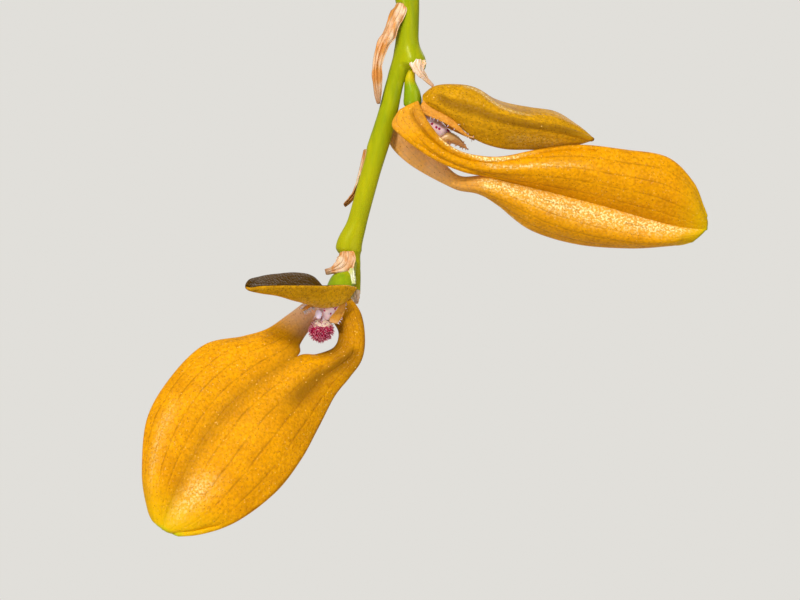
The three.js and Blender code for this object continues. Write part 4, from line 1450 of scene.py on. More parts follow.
SEEN_BRACTS = (
    Bract(
        "bract_1",
        (
            (-104.9, -11.3, 235), (-105.4, -11.7, 233.7), (-106, -11.9, 232.4), (-106.5, -12, 231),
            (-107.5, -12, 229), (-108.05, -11.8, 227), (-108.1, -11.6, 225), (-108, -11.3, 223.1),
            (-107.9, -11.1, 221.4),
        ),
        (0.9, 1.15, 0.95, 0.98, 0.84, 0.74, 0.7, 0.56, 0.2), (-0.4, -1, 0.1), crumple=0.36,
    ),
    Bract(
        "bract_2",
        (
            (-102.5, -12.0, 227.4), (-102.5, -12.3, 226.6), (-102.2, -12.1, 225.7),
            (-101.5, -11.5, 224.8), (-100.5, -10.9, 223.8),
        ),
        (0.95, 1.1, 0.7, 0.42, 0.2), (0.3, -1, 0.2), crumple=0.3, finish=PINK_PAPER,
    ),
    Bract(
        "bract_3",
        (
            (-109.5, -8.1, 215.4), (-110, -7.9, 213.3), (-110.5, -7.8, 211.5), (-111.2, -7.9, 209.6),
            (-111.9, -8.1, 208.6), (-112.6, -8.4, 207.8),
        ),
        (0.7, 0.75, 0.7, 0.6, 0.5, 0.3), (-1, 0.6, 0),
    ),
    Bract(
        "bract_4",
        (
            (-112.2, -12.7, 201.55), (-112.2, -13.3, 200.8), (-112.45, -13.7, 200.0),
            (-113.2, -14, 199.4), (-114.1, -14, 199), (-115, -13.9, 198.75),
        ),
        (0.8, 1.2, 1.35, 0.95, 0.5, 0.35), (-0.1, -1, 0.15), crumple=0.38,
    ),
    Bract(
        "bract_5", ((-111.0, -11.4, 196.4), (-111.0, -11.5, 195.6), (-110.8, -11.2, 194.5)),
        (0.6, 0.6, 0.2), (-0.1, -1, 0.1), finish=PINK_PAPER,
    ),
)
# A pale sheet on the ovary's foot that paints the highlight there, laid as the lowest bract's scar
OVARY_HIGHLIGHT_SCAR = Bract(
    "ovary_scar", ((-111.5, -13.5, 199.3), (-111.4, -13.85, 198.2), (-111.25, -14.3, 197.1)),
    (0.35, 0.52, 0.4), (0.3, -1, 0.1), cup=0.2, crumple=0.12, finish=PAINTED_HIGHLIGHT_MEMBRANE,
)


def node_bract(name: str, place: float, side: float, length: float) -> Bract:
    """A bract that hangs from a bare node of the stem.

    Args:
        name: the frame's node that it stands for.
        place: where it starts, counted in points of the stem's line.
        side: 1 or -1, the side of the stem.
        length: of the bract.

    Returns:
        The bract, leaning away from the stem by the square of the share of its length.
    """
    share = place / (len(STEM) - 1)
    before, point, after = line_through(STEM_LINE, np.array([share - 1e-4, share, share + 1e-4]), even=False)
    tangent = unit(after - before)
    out = unit(side * np.array([-tangent[2], 0.8, tangent[0]]))
    stand = float(read_off(STEM_RADII, np.array([share]))[0]) + 0.2
    path = tuple(tuple(point + out * (stand + t * t * length * 0.22) + tangent * length * t)
                 for t in (0, 0.35, 0.7, 1))
    finish = SHEATH_PAPER if name.startswith("stem_sheath") else BRACT_PAPER
    return Bract(name, path, (1.7, 1.6, 1, 0.3), tuple(out), cup=0.55, crumple=0.22, finish=finish)


# The bracts and sheaths above the flowers, as node_bract takes them
HIDDEN_BRACTS = (
    ("bract_6", 10.4, 1, 10), ("bract_7", 9.65, -1, 10), ("bract_8", 9, 1, 11), ("bract_9", 8.45, -1, 11),
    ("bract_10", 7.9, 1, 12), ("bract_11", 7.3, -1, 12), ("stem_sheath_1", 1.8, -1, 15),
    ("stem_sheath_2", 3.4, 1, 13), ("stem_sheath_3", 5, -1, 12),
)


# The flowers


@dataclass(frozen=True)
class Rim:
    """A stretch of rolled rim: from where to where along, how deep its crease is and how far in."""

    start: float
    end: float
    depth: float
    inset: float


@dataclass(frozen=True)
class Fold:
    """A soft furrow or crest: its reach along, its share across at both ends, width, depth and shade.

    Dark paints shade into its flesh and pale paints a frosty highlight on it, each by a share.
    """

    start: float
    end: float
    across_start: float
    across_end: float
    width: float
    depth: float
    dark: float = 0.0
    pale: float = 0.0

    def at(self, u: np.ndarray, v: np.ndarray) -> np.ndarray:
        """How strongly a point belongs to it, from 0 to 1: a bell across, faded at both ends.

        Args:
            u: shares along.
            v: shares across.

        Returns:
            The strength at each place.
        """
        fade = 0.06
        reach = smoothstep(u, self.start, self.start + fade) * smoothstep(u, self.end, self.end - 2 * fade)
        middle = np.interp(u, [self.start, self.end], [self.across_start, self.across_end])
        return reach * bell(v, middle, self.width)


def fold_sum(folds: tuple[Fold, ...], measure: str, u: np.ndarray, v: np.ndarray) -> np.ndarray:
    """One measure of all folds, summed on the grid of two rows of shares, as far as each fold counts.

    Args:
        folds: the folds.
        measure: depth, dark or pale.
        u: shares along.
        v: shares across.

    Returns:
        The grid of sums.
    """
    total = np.zeros((len(u), len(v)))
    for fold in folds:
        total += getattr(fold, measure) * fold.at(u[:, None], v[None])
    return total


@dataclass(frozen=True)
class SepalHalf:
    """One lateral sepal: its outer margin, its inner edge up to the fork, and its pink foot."""

    side: Side
    margin: Points
    inner: Points
    blush: float
    blush_end: float
    folds: tuple[Fold, ...] = ()
    rims: tuple[Rim, ...] = ()


@dataclass(frozen=True)
class Rod:
    """A round organ along a line."""

    path: Points
    radius: tuple[float, ...]


@dataclass(frozen=True)
class Petal:
    """A small petal: a pointed strip with hairs on its edge."""

    side: Side
    path: Points
    half_width: tuple[float, ...]
    facing: Triple
    hairs: int
    hair_length: float


@dataclass(frozen=True)
class Flower:
    """One flower. Its rails are lines of points from its anchor, from the ovary to the tip."""

    name: str
    anchor: Triple
    fork: int
    pillow: float
    soft_seam: float
    tip_bow: float
    halves: tuple[SepalHalf, SepalHalf]
    seam: Points
    dorsal: tuple[Points, ...]
    # How strong the painted shade on the dorsal sepal's hollow face is
    trough_shade: float
    dorsal_folds: tuple[Fold, ...]
    gold: float
    ovary: Rod
    column: Rod
    cap: tuple[Triple, Triple]
    lip: Rod
    lip_hairs: int
    lip_hair_length: float
    petals: tuple[Petal, Petal]
    lip_finish: Fringe = LIP_FRINGE
    flesh: float = 0.68
    dorsal_flesh: float = 0.6
    petal_flesh: float = 0.3
    papilla_radius: float = 0.085
    hair_radius: float = 0.05
    end_dome: float = 0.6
    strap_swell: float = 0.15
    # The strongest painted shade that the folds may lay
    deepest_painted_shade: float = 0.85

    def moved(self, points: Points | np.ndarray) -> np.ndarray:
        """Points from the flower's anchor as points in the frame."""
        return np.asarray(points, float) + np.array(self.anchor)

    def half_grid(self, half: SepalHalf, u: np.ndarray, v: np.ndarray) -> np.ndarray:
        """One half's middle surface.

        A row runs from the margin to the inner edge, and bulges out by a sine of the share across:
        little on the strap, and by the pillow on the blade. Near the seam the sine is blended with its
        square, which softens the valley. Folds, rolled rims and fine noise are added along the normal.

        Args:
            half: the lateral sepal.
            u: shares along.
            v: shares across, from the margin inwards.

        Returns:
            The grid of points.
        """
        margin, seam = self.moved(half.margin), self.moved(self.seam)
        place = u * (len(margin) - 1)
        start, end = line_through(margin, u), line_through(np.concatenate([self.moved(half.inner), seam]), u)
        other = next(h for h in self.halves if h is not half)
        twin = line_through(np.concatenate([self.moved(other.inner), seam]), u)
        end = np.where((place >= self.fork)[:, None], (end + twin) / 2, end)
        along = np.gradient(start, axis=0) + np.gradient(end, axis=0)
        out = unit(np.cross(along, end - start) * half.side.value)
        width = np.linalg.norm(end - start, axis=1)[:, None]
        past = smoothstep(place, self.fork - 2, self.fork + 3)[:, None]
        tipward = np.sin(np.clip((1 - u) * 3.4, 0, 1) * math.pi / 2)[:, None]
        swell = (width * self.strap_swell * (1 - past) + self.pillow * past) * tipward
        wave = np.sin(math.pi * v)
        soft = np.where(v > 0.5, self.soft_seam, 0) * past
        bulge = swell * (wave * (1 - soft) + wave**2 * soft) - fold_sum(half.folds, "depth", u, v)
        # The margin's rolled rim, with a shallow crease inside it
        inset = v * width
        for rim in half.rims:
            stretch = smoothstep(u, rim.start, rim.start + 0.06) * smoothstep(u, rim.end + 0.06, rim.end)
            crease = bell(inset, rim.inset, rim.inset * 0.4) - 0.5 * bell(inset, 0.25, 0.25)
            bulge -= stretch[:, None] * rim.depth * crease
        grid = start[:, None] + (end - start)[:, None] * v[:, None]
        shake = 0.1 * wander(grid, 5, 7) + 0.05 * wander(grid, 1.7, 8)
        grid = grid + out[:, None] * (bulge + shake * wave**0.5)[..., None]
        # Near the tip the rows bow out past the straight line between margin and seam
        bow = self.tip_bow * smoothstep(u, 0.9, 1)[:, None] * np.sin(v * math.pi / 2) ** 0.7
        return grid + unit(along)[:, None] * bow[..., None]

    def both(self, left: np.ndarray, right: np.ndarray) -> np.ndarray:
        """Grids of both halves side by side, the right one turned round so that the seam is inside."""
        return np.concatenate([left, right[:, ::-1]], axis=1)

    def lateral_sepals(self) -> Form:
        """Both lateral sepals as one blade: two straps round a hole, joined along the seam.

        The halves share their points from the fork on. The distance from the nearest edge, which
        rounds the blade, is taken over the margin, the strap's inner edge, the foot and the tip.

        Returns:
            The blade, with all the marks that its flesh reads.
        """
        u, v = np.linspace(0, 1, 260), crowded(46)
        rows, columns = len(u), len(v)
        grids = [self.half_grid(half, u, v) for half in self.halves]
        middle = self.both(*grids)
        fork_row = int(np.argmax(u * (len(self.halves[0].margin) - 1) >= self.fork))
        index = np.arange(rows * columns * 2).reshape(rows, columns * 2)
        index[fork_row:, columns] = index[fork_row:, columns - 1]
        quads = np.concatenate([cells(index[:, :columns]), cells(index[:, columns:])])
        width = self.both(*(np.linalg.norm(g[:, :1] - g[:, -1:], axis=2).repeat(columns, 1) for g in grids))
        share = self.both(v[None], v[None])
        run = run_along(middle[:, columns - 1])[:, None]
        past_fork = np.maximum(run - run[fork_row], 0)
        edges = (share * width, np.hypot((1 - share) * width, past_fork), run, run[-1] - run)
        ones = np.ones((1, columns))
        pink = [h.blush * smoothstep(u, h.blush_end, h.blush_end * 0.6)[:, None] * ones for h in self.halves]
        # The folds' dark shares are painted shade and their pale shares a painted highlight
        dusk = self.both(*(fold_sum(h.folds, "dark", u, v) for h in self.halves))
        marks = {
            "along": u[:, None],
            "across": self.both(v[None] - 1, 1 - v[None]),
            "edge": np.minimum.reduce(np.broadcast_arrays(*edges)),
            "blush": self.both(*pink),
            "dusk": np.clip(dusk, 0, self.deepest_painted_shade),
            "pale": self.both(*(fold_sum(h.folds, "pale", u, v) for h in self.halves)),
        }
        used = np.unique(quads)
        renumber = np.zeros(rows * columns * 2, int)
        renumber[used] = np.arange(len(used))
        sheet = Form(middle.reshape(-1, 3)[used], renumber[quads])
        sheet.marked(**{n: np.broadcast_to(g, index.shape).reshape(-1)[used] for n, g in marks.items()})
        made = thickened(sheet, self.flesh / 2 * round_edge(sheet.marks["edge"], 0.5))
        # The painted highlight is kept to the face that is marked under
        return made.marked(pale=made.marks["pale"] * made.marks["under"])

    def dorsal_sepal(self) -> Form:
        """The dorsal sepal: a boat whose rows cross all its rails at the same share of their length.

        Returns:
            The blade, with painted shade on its hollow side, marked as inner.
        """
        u, v = np.linspace(0, 1, 170), crowded(61)
        rails = np.stack([line_through(self.moved(rail), u) for rail in self.dorsal])
        grid = np.swapaxes(line_through(rails, v), 0, 1)
        normal = unit(np.cross(np.gradient(grid, axis=0), np.gradient(grid, axis=1)))
        # Folds give furrows their depth, painted shade and a painted highlight
        depth, dusk, pale = (fold_sum(self.dorsal_folds, m, u, v) for m in ("depth", "dark", "pale"))
        grid = grid + (0.07 * wander(grid, 2.6, 9) + depth)[..., None] * normal
        made = blade(grid, self.dorsal_flesh, along=u[:, None], across=v * 2 - 1, dusk=dusk, pale=pale)
        # Painted shade on the face that is not under, as strong as the trough shade
        return made.marked(inner=(1 - made.marks["under"]) * self.trough_shade)

    def rod(self, part: Rod, steps: int, sides: int, squash: float = 1) -> Form:
        """A round organ with domed ends: the radius falls on a quarter circle near each end.

        Args:
            part: its line and radii.
            steps: rings along it.
            sides: points in a ring.
            squash: flattens it towards the viewer.

        Returns:
            The organ as a closed tube.
        """
        u = np.linspace(0, 1, steps)
        line = line_through(self.moved(part.path), u)
        run = run_along(line)
        closing = np.maximum(round_edge(np.minimum(run, run[-1] - run), self.end_dome), 0.12)
        return tube(line, read_off(part.radius, u) * closing, sides, squash)

    def column_form(self) -> Form:
        """The column, with a tooth on each side of its hood.

        Returns:
            The column and its teeth in one form.
        """
        path = self.moved(self.column.path)
        tip, way = path[-1], unit(path[-1] - path[-2])
        aside = unit(np.cross(way, [0, -1, 0.1]))
        out, sunk, length, radius = 0.55, 0.3, 1.1, 0.26
        roots = tip - way * sunk + np.stack([aside, -aside]) * out
        teeth = hairs(roots, np.stack([way, way]), np.full(2, length), radius, 0.15, 8, 6, 0.15)
        return joined(self.rod(self.column, 40, 28), teeth)

    def lip_form(self) -> Form:
        """The lip: a fleshy tongue covered with finger-like papillae, longer on its lower half.

        The papillae stand on points drawn from the tongue's skin, along its normals with some scatter.
        The mark low is 1 on the lower half.

        Returns:
            The tongue and its papillae in one form.
        """
        body, count = self.rod(self.lip, 36, 30, 0.75), self.lip_hairs
        normal = point_normals(body.points, body.quads)
        random = np.random.default_rng(8)
        pick = random.choice(len(body.points) - 2, count, replace=False)
        ways = unit(normal[pick] + random.normal(0, 0.35, (count, 3)))
        height = body.points[:, 2]
        low = smoothstep(height, height.mean() + 0.5, height.mean() - 0.3)
        length = self.lip_hair_length * (0.5 + 0.6 * random.random(count) + 0.5 * low[pick])
        fine = hairs(body.points[pick] - ways * 0.05, ways, length, self.papilla_radius, 0.25, 5, 4, 0.6)
        each = (len(fine.points) - count) // count
        fine.marked(low=np.concatenate([np.repeat(low[pick], each), low[pick]]))
        return joined(body.marked(tip=0.0, low=low), fine)

    def petal_form(self, petal: Petal) -> tuple[Form, Form]:
        """A petal's blade, and the hairs along both its edges.

        Args:
            petal: the petal's sizes.

        Returns:
            The blade, and the hairs.
        """
        u, line, front, across, v = laid_out(self.moved(petal.path), petal.facing, 60, 17)
        half = read_off(petal.half_width, u)[:, None, None]
        aside = v[None, :, None]
        grid = line[:, None] + across[:, None] * aside * half - front * 0.2 * half * aside**2
        body = blade(grid, self.petal_flesh, along=u[:, None], across=v)
        random = np.random.default_rng(len(self.name) + petal.side.value + 3)
        at = random.integers(4, len(u), petal.hairs)
        edge = np.where(random.random(petal.hairs) < 0.5, -1.0, 1.0)[:, None]
        roots = line[at] + across[at] * edge * half[at, 0] * 0.95
        ways = unit(across[at] * edge + front * 0.5 + random.normal(0, 0.35, (petal.hairs, 3)))
        length = petal.hair_length * (0.5 + random.random(petal.hairs))
        return body, hairs(roots, ways, length, self.hair_radius, 0.3, 4, 5, 0.5)

    def build(self) -> None:
        """Lays every organ of the flower."""
        name = self.name
        lay(f"{name}_sepal_pair", self.lateral_sepals(), LATERAL, "lateral_sepal", f"{name}_lateral_sepals")
        lay(f"{name}_dorsal_blade", self.dorsal_sepal(), DORSAL, "dorsal_sepal", f"{name}_dorsal_sepal")
        ovary = self.rod(self.ovary, 50, 30)
        ovary.marked(gold=self.gold * smoothstep(ovary.marks["along"], 0.5, 0.3))
        lay(f"{name}_ovary_skin", ovary, OVARY_SKIN, "green_stem", f"{name}_ovary")
        lay(f"{name}_column_wax", self.column_form(), COLUMN_WAX, "column", f"{name}_column")
        centre, half = self.cap
        lay(f"{name}_anther_cap", egg(self.moved(centre), half), ANTHER_WAX, "column")
        lay(f"{name}_lip_flesh", self.lip_form(), self.lip_finish, "lip", f"{name}_lip")
        for petal in self.petals:
            side = petal.side.name.lower()
            body, fringe = self.petal_form(petal)
            lay(f"{name}_petal_{side}_blade", body, PETAL, "petal", f"{name}_petal_{side}")
            lay(f"{name}_petal_{side}_fringe", fringe, PALE_FRINGE, "petal")


FLOWERS = (
    Flower(
        name="flower_1",
        anchor=(-111.8, -10, 195),
        fork=5,
        pillow=1.6,
        soft_seam=0.8,
        tip_bow=0.2,
        halves=(
            SepalHalf(
                Side.LEFT,
                (
                    (-2.4, -4, 1.3), (-4.2, -4, 0.7), (-5.8, -4, -0.2), (-8.3, -4.3, -2.1),
                    (-11.1, -4.7, -4), (-14.5, -5.2, -5.1), (-19.3, -6, -6.1), (-23.4, -8, -10.1),
                    (-26.4, -10.5, -15.5), (-26.9, -12.5, -22.3), (-26.1, -14, -27),
                    (-25.3, -14.7, -28.8),
                ),
                (
                    (-1.9, -4.2, -0.2), (-3.0, -4.3, -1.2), (-4.0, -4.4, -2.2), (-5.2, -4.9, -3.8),
                    (-6.5, -5.5, -5.9),
                ),
                blush=1.0, blush_end=0.36,
                folds=(
                    Fold(0.18, 0.5, 0.8, 0.82, 0.17, 0.0, 0.6),
                    Fold(0.16, 0.36, 1.0, 1.0, 0.18, 0.3, 0.5), Fold(0.3, 1.3, 1.0, 1.0, 0.13, 0.0, 0.45),
                    Fold(0.12, 0.46, 0.4, 0.4, 0.5, 0.0, 0.36),
                    Fold(0.66, 0.9, 0.36, 0.4, 0.08, 0.0, 0.0, 0.3),
                ),
            ),
            SepalHalf(
                Side.RIGHT,
                (
                    (0.1, -3.5, 0.5), (1.6, -3.5, -1.9), (2.1, -4, -5.1), (1.7, -4.5, -8),
                    (0.1, -5, -10.3), (-2, -5.5, -12.9), (-4.1, -7, -17), (-6.3, -9.5, -21.1),
                    (-9.5, -12, -25.2), (-14.3, -14, -28.8), (-18.6, -15, -30.3), (-22.2, -15.1, -30.6),
                ),
                (
                    (-2.6, -3.8, -0.2), (-2.5, -3.9, -2.2), (-1.4, -4.2, -4.3), (-2.0, -4.8, -6.3),
                    (-4.5, -5.5, -7.3),
                ),
                blush=0.0, blush_end=0.1, rims=(Rim(0.84, 1.1, 0.75, 0.95),),
                folds=(
                    Fold(0.22, 0.62, 0.32, 0.55, 0.17, 0.5, 0.95),
                    Fold(0.74, 1.0, 0.72, 0.78, 0.15, 0.0, 0.0, 0.55),
                    Fold(0.3, 1.3, 1.0, 1.0, 0.13, 0.0, 0.45),
                    Fold(0.06, 0.42, 1.0, 1.0, 0.34, 0.2, 0.85),
                    Fold(0.05, 0.45, 0.05, 0.1, 0.14, 0.0, 0.45),
                    Fold(0.02, 0.42, 0.5, 0.5, 0.4, 0.0, 0.3),
                ),
            ),
        ),
        seam=(
            (-6.9, -6.5, -7.5), (-11.5, -8.5, -10.6), (-16.1, -11, -14.6), (-19.6, -13, -19.6),
            (-22.4, -14.5, -25), (-23.6, -15, -28), (-24, -15.1, -29.8),
        ),
        dorsal=(
            (
                (1.1, -5.8, 1.7), (-0.5, -7.5, 2.0), (-3.1, -10, 1.9), (-6, -12.5, 1.9),
                (-8.7, -14.5, 1.9), (-11, -16, 1.85), (-12.4, -16.7, 1.6), (-13.2, -16.4, 1.7),
            ),
            (
                (0, -5.8, 0.4), (-1.4, -6.8, -0.5), (-3.8, -8, -0.7), (-6.6, -10.5, 0.1),
                (-9.3, -13, 0.9), (-11.3, -15, 1.2), (-12.6, -16.2, 1.45), (-13.3, -16.3, 1.75),
            ),
            (
                (-0.8, -5, 0.6), (-3.1, -5, 1.2), (-4.9, -4.5, 3.1), (-7, -6.5, 3.6), (-9.5, -9.5, 3.4),
                (-11.4, -12, 3.1), (-12.8, -15, 2.7), (-13.3, -16.1, 1.9),
            ),
        ),
        trough_shade=1.0,
        dorsal_folds=(
            Fold(0.1, 0.5, 0.45, 0.45, 0.12, 0.0, 0.0, 0.2), Fold(0.75, 1.3, 0.5, 0.5, 0.8, 0.0, 0.55),
        ),
        gold=0.4,
        ovary=Rod(
            (
                (0.1, -1.2, 5.6), (-0.35, -2.4, 3.6), (-0.95, -3.2, 2.3), (-1.3, -3.8, 1),
                (-1.3, -4.2, -0.1),
            ),
            (0.9, 1.2, 1.7, 1.9, 1.6),
        ),
        column=Rod(((-1.2, -4.3, 0.3), (-2.5, -5.4, -0.9), (-3.8, -6.4, -2.2)), (0.9, 1.15, 1.1)),
        cap=((-4.0, -7.4, -1.9), (0.45, 0.35, 0.66)),
        lip=Rod(((-3.1, -5.2, -2.8), (-3.7, -6.4, -3.85), (-4.25, -7.5, -4.7)), (0.95, 1.4, 0.8)),
        lip_hairs=460,
        lip_hair_length=0.36,
        petals=(
            Petal(
                Side.LEFT, ((-2.6, -5.6, 0.1), (-4.4, -6.2, -0.3), (-6.2, -6.8, -1.4)), (0.5, 0.35, 0.2),
                (0.2, -1, 0.4), 130, 0.4,
            ),
            Petal(
                Side.RIGHT, ((-1.9, -5.6, 0.1), (-1.75, -5.95, -1.5), (-2, -6.3, -3.1)), (1.7, 1.3, 0.5),
                (0.3, -1, 0.1), 30, 0.18,
            ),
        ),
    ),
    Flower(
        name="flower_2",
        anchor=(-103.4, -10, 221.7),
        fork=6,
        pillow=2.2,
        soft_seam=0.15,
        tip_bow=0.35,
        halves=(
            SepalHalf(
                Side.LEFT,
                (
                    (-1.5, 2.2, -0.8), (-2.6, 2.4, -3.1), (-3, 2.4, -5.4), (-0.9, 2.2, -7.8),
                    (2.2, 1.8, -9.8), (6, 0.8, -11.6), (9, 0, -12.2), (11.5, 0.5, -13.7),
                    (16, 1.5, -17.1), (22.4, 2.5, -19), (29.4, 2.5, -19.5), (34.4, 2, -19.2),
                    (36, 1.5, -19.2), (38, 1.1, -18.9),
                ),
                (
                    (0.6, 1.4, -0.2), (0.6, 1.9, -1.7), (0.8, 2, -3.1), (1.7, 1.7, -4.5), (3.7, 1, -7.3),
                    (6.4, -0.2, -9.9),
                ),
                blush=0.48, blush_end=0.5,
                folds=(
                    Fold(0.42, 1.0, 0.72, 0.88, 0.16, 0.0, 0.0, 1.0),
                    Fold(0.42, 0.64, 0.06, 0.05, 0.03, 0.0, 0.0, 1.4),
                ),
            ),
            SepalHalf(
                Side.RIGHT,
                (
                    (0.8, -1.7, 0.1), (1.5, -2.2, -1.5), (2.4, -2.7, -3.1), (3.9, -3.1, -5),
                    (5.9, -3.2, -6.5), (8.6, -3, -7.3), (12.2, -2.5, -7.4), (17.2, -1.5, -6.4),
                    (22.7, -0.5, -5.8), (28.8, 0, -6.4), (34.5, 0.5, -7.4), (37.9, 1, -10.6),
                    (39.3, 1, -13.8), (39.8, 1, -15.3),
                ),
                (
                    (-1.7, -2.2, -1.2), (-2.7, -2.6, -3.2), (-1.5, -3, -4.7), (0.4, -3.2, -6.2),
                    (3, -3.2, -7.9), (6.7, -2.6, -9.4),
                ),
                blush=0.06, blush_end=0.2,
                folds=(
                    Fold(0.02, 0.5, 0.31, 0.33, 0.085, 0.6, 0.45),
                    Fold(0.2, 0.55, 0.75, 0.7, 0.09, 0.3, 0.3),
                    Fold(0.45, 1.2, 1.0, 1.0, 0.14, 0.0, 0.35),
                    Fold(0.2, 0.56, 0.1, 0.08, 0.03, 0.0, 0.0, 1.6),
                    Fold(0.4, 0.66, 0.42, 0.36, 0.04, 0.0, 0.0, 0.9),
                    Fold(0.0, 0.4, 0.2, 0.2, 0.3, 0.0, 0.3),
                ),
                rims=(Rim(0.36, 0.62, 0.35, 0.7), Rim(0.7, 1.1, 0.12, 0.8)),
            ),
        ),
        seam=(
            (10.1, -1.5, -10), (14.6, -0.5, -11.1), (20.7, 0.5, -12.6), (27.1, 1, -14.3),
            (32.5, 1, -15.9), (36.6, 1, -16.9), (38.6, 1, -17.1), (39.7, 1, -17),
        ),
        dorsal=(
            (
                (1.6, -0.8, -0.4), (3.2, -1.5, -1.3), (5.4, -1.5, -2.4), (8.6, -1, -5.1),
                (12.2, -0.5, -6.3), (16, 0, -6.4), (19.5, 0.2, -6.2), (22.4, 0.2, -5.75),
                (24.4, -0.1, -5.15),
            ),
            (
                (1.5, -1, 0.1), (3, -2.6, 0.1), (5.5, -2.8, -1.2), (8.3, -2.8, -2), (11.8, -2.8, -2.9),
                (15.6, -2.4, -3.5), (19.2, -1.8, -4.1), (22.2, -0.8, -4.7), (24.5, -0.1, -5.1),
            ),
            (
                (1.5, -0.5, 0.6), (3.2, -1, 1.8), (5.8, -1.2, 1.9), (8.6, -1.5, 1.3), (11.7, -2, -0.9),
                (15.3, -2, -2), (19, -1.5, -2.3), (22, -0.6, -3.4), (24.5, -0.1, -5.05),
            ),
            (
                (1.6, 0.6, 0.5), (3.6, 2, 1.6), (6.1, 2.5, 1.7), (9.3, 3, 1.2), (12.5, 2.5, -0.1),
                (16, 1.5, -0.75), (19.5, 1, -1.4), (22.3, 0.6, -3.2), (24.45, 0, -5),
            ),
        ),
        trough_shade=0.3,
        dorsal_folds=(
            Fold(0.12, 1.1, 0.4, 0.42, 0.05, 0.35, 0.75),
            Fold(0.28, 0.68, 0.68, 0.66, 0.022, -0.1, 0, 0.9), Fold(0.2, 0.7, 0.8, 0.76, 0.06, 0.0, 0.5),
            Fold(0.5, 0.85, 0.13, 0.16, 0.1, 0.0, 0.0, 0.12),
        ),
        gold=1.0,
        ovary=Rod(
            (
                (-0.9, -0.3, 5.4), (-0.2, -0.3, 4.2), (-0.25, -0.3, 2.75), (0, -0.25, 1.35),
                (0.1, -0.1, 0.2), (0, 0.1, -0.9),
            ),
            (0.6, 0.55, 0.75, 1.1, 1.25, 1.15),
        ),
        column=Rod(
            ((0.6, 0, -1), (1.9, 0, -2.2), (3.4, 0, -3.5), (4.6, 0, -4.3)), (0.85, 1.05, 1.15, 0.8),
        ),
        cap=((2.5, -0.95, -2.2), (0.7, 0.35, 0.6)),
        lip=Rod(
            ((1.2, 0.1, -5), (3.2, 0.1, -5.5), (4.9, 0, -4.8), (6.2, 0, -5.3), (7.5, 0, -6.3)),
            (0.5, 0.75, 0.8, 0.55, 0.12),
        ),
        lip_hairs=90,
        lip_hair_length=0.17,
        lip_finish=TAN_LIP,
        petals=(
            Petal(
                Side.LEFT,
                ((1.7, 1.9, -1.1), (3.2, 2, -1.8), (4.8, 2, -2.8), (6.3, 2, -3.7), (8.5, 1.8, -5)),
                (0.7, 0.6, 0.5, 0.35, 0.12), (0.1, 1, 0.1), 14, 0.3,
            ),
            Petal(
                Side.RIGHT,
                (
                    (1.2, -1.7, -0.4), (3, -2, -1.3), (4.7, -2.1, -2.4), (6.4, -2.1, -3.8),
                    (7.4, -2, -4.6), (8.4, -1.9, -4.9),
                ),
                (1.05, 1.0, 0.62, 0.3, 0.14, 0.08), (0.1, -1, 0.1), 14, 0.28,
            ),
        ),
    ),
)


# The studio


@dataclass(frozen=True)
class Lamp:
    """A square soft light: where it hangs, what it looks at, its width in metres and its power."""

    name: str
    place: Triple
    aim: Triple
    width: float
    watts: float
    colour: str = "#ffffff"


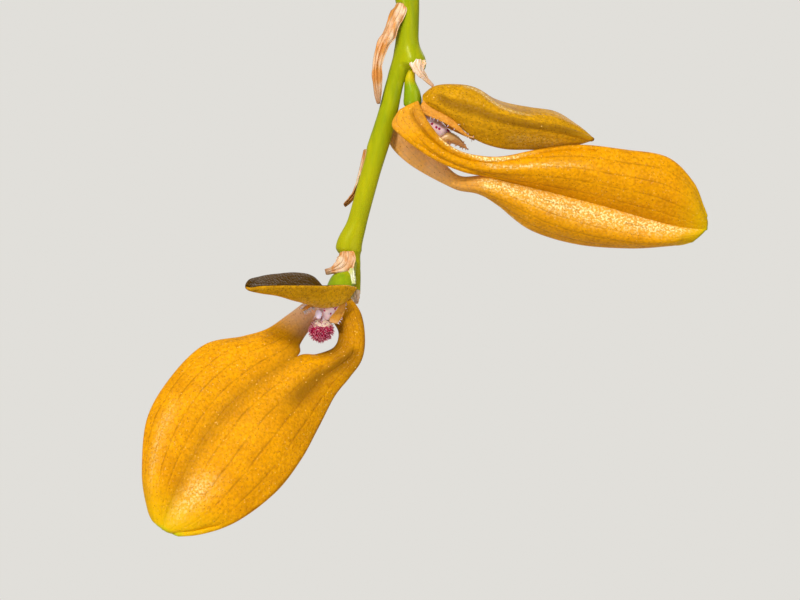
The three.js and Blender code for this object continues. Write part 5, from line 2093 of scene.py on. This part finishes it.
@dataclass(frozen=True)
class Studio:
    """A pale floor without a horizon, soft lights and the camera by the flowers, all in metres."""

    lamps: tuple[Lamp, ...] = (
        Lamp("key", (-0.35, -0.55, 0.7), (-0.1, 0, 0.18), 0.3, 3.3, "#fffaf2"),
        Lamp("low", (-0.4, -0.45, 0.08), (-0.11, 0, 0.19), 0.15, 0.7, "#fffaf2"),
        Lamp("glint", (-0.2, -0.42, 0.5), (-0.1, 0, 0.19), 0.03, 0.8),
        Lamp("fill", (0.9, -0.9, 0.5), (0, 0, 0.12), 0.9, 4.5, "#f6f8ff"),
        Lamp("back", (0.3, 0.8, 0.8), (-0.05, 0, 0.15), 0.5, 2.2),
    )
    view_from: Triple = (-0.105, -0.43, 0.195)
    lens: float = 140.0
    sensor: float = 36.0
    floor_half: float = 6.0
    fade_from: float = 0.15
    fade_to: float = 0.62
    pale: str = "#e6e4df"
    sky: str = "#f3f5f8"
    shown: float = 0.95
    cast: float = 0.3

    def world(self) -> None:
        """A pale world that the camera sees brighter than the light it casts."""
        world = bpy.data.worlds.new("pale_studio")
        world.use_nodes = True
        tree = world.node_tree
        tree.nodes.clear()
        seen = node(tree, "ShaderNodeLightPath").outputs["Is Camera Ray"]
        wide = node(tree, "ShaderNodeBackground", {"Color": linear(self.pale), "Strength": self.shown})
        cast = node(tree, "ShaderNodeBackground", {"Color": linear(self.sky), "Strength": self.cast})
        both = node(tree, "ShaderNodeMixShader", {0: seen, 1: cast, 2: wide})
        node(tree, "ShaderNodeOutputWorld", {"Surface": both})
        bpy.context.scene.world = world

    def floor(self) -> None:
        """A wide floor that fades into the world round it, by the distance from its middle."""
        mesh = bpy.data.meshes.new("studio_floor")
        r = self.floor_half
        mesh.from_pydata([(-r, -r, 0), (r, -r, 0), (r, r, 0), (-r, r, 0)], [], [(0, 1, 2, 3)])
        floor = bpy.data.objects.new("studio_floor", mesh)
        bpy.context.scene.collection.objects.link(floor)
        paper = bpy.data.materials.new("pale_paper")
        paper.use_nodes = True
        tree = paper.node_tree
        shader = tree.nodes["Principled BSDF"]
        shader.inputs["Base Color"].default_value = linear(self.pale)
        shader.inputs["Roughness"].default_value = 0.9
        place = node(tree, "ShaderNodeTexCoord").outputs["Object"]
        away = node(tree, "ShaderNodeVectorMath", {0: place}, operation="LENGTH").outputs["Value"]
        fade = {"Value": away, "From Min": self.fade_to, "From Max": self.fade_from}
        shown = node(tree, "ShaderNodeMapRange", fade, interpolation_type="SMOOTHSTEP")
        clear = node(tree, "ShaderNodeBsdfTransparent")
        both = node(tree, "ShaderNodeMixShader", {0: shown, 1: clear, 2: shader.outputs["BSDF"]})
        plug(tree, both, tree.nodes["Material Output"].inputs["Surface"])
        mesh.materials.append(paper)

    def light(self) -> None:
        """Hangs the lamps."""
        for lamp in self.lamps:
            data = bpy.data.lights.new(lamp.name, "AREA")
            data.energy, data.size, data.color = lamp.watts, lamp.width, linear(lamp.colour)[:3]
            item = bpy.data.objects.new(lamp.name, data)
            item.location = lamp.place
            item.rotation_euler = (Vector(lamp.aim) - Vector(lamp.place)).to_track_quat("-Z", "Y").to_euler()
            bpy.context.scene.collection.objects.link(item)

    def camera(self) -> None:
        """Sets the camera level with the flowers, looking along +Y."""
        data = bpy.data.cameras.new("flower_camera")
        data.lens, data.sensor_width = self.lens, self.sensor
        data.clip_start, data.clip_end = 0.02, 50
        camera = bpy.data.objects.new("flower_camera", data)
        camera.location = self.view_from
        camera.rotation_euler = (math.pi / 2, 0, 0)
        bpy.context.scene.collection.objects.link(camera)
        bpy.context.scene.camera = camera

    def build(self) -> None:
        """Sets up the whole studio."""
        self.camera()
        self.world()
        self.floor()
        self.light()
        bpy.context.scene.view_settings.view_transform = "Standard"


def main() -> None:
    """Builds the studio, the pot, the plant and the flowers in turn."""
    logging.basicConfig(level=logging.INFO, format="%(message)s")
    Studio().build()
    pot = ClayPot()
    pot.build()
    BarkBed().build(pot)
    Rhizome().build()
    for number, bulb in enumerate(BULBS, 1):
        Pseudobulb(number, bulb).build()
    for leaf in LEAVES:
        leaf.build()
    FlowerStem().build()
    for bract in (*SEEN_BRACTS, *(node_bract(*row) for row in HIDDEN_BRACTS)):
        bract.build(bract.name)
    OVARY_HIGHLIGHT_SCAR.build()
    for flower in FLOWERS:
        flower.build()


if __name__ == "__main__":
    main()
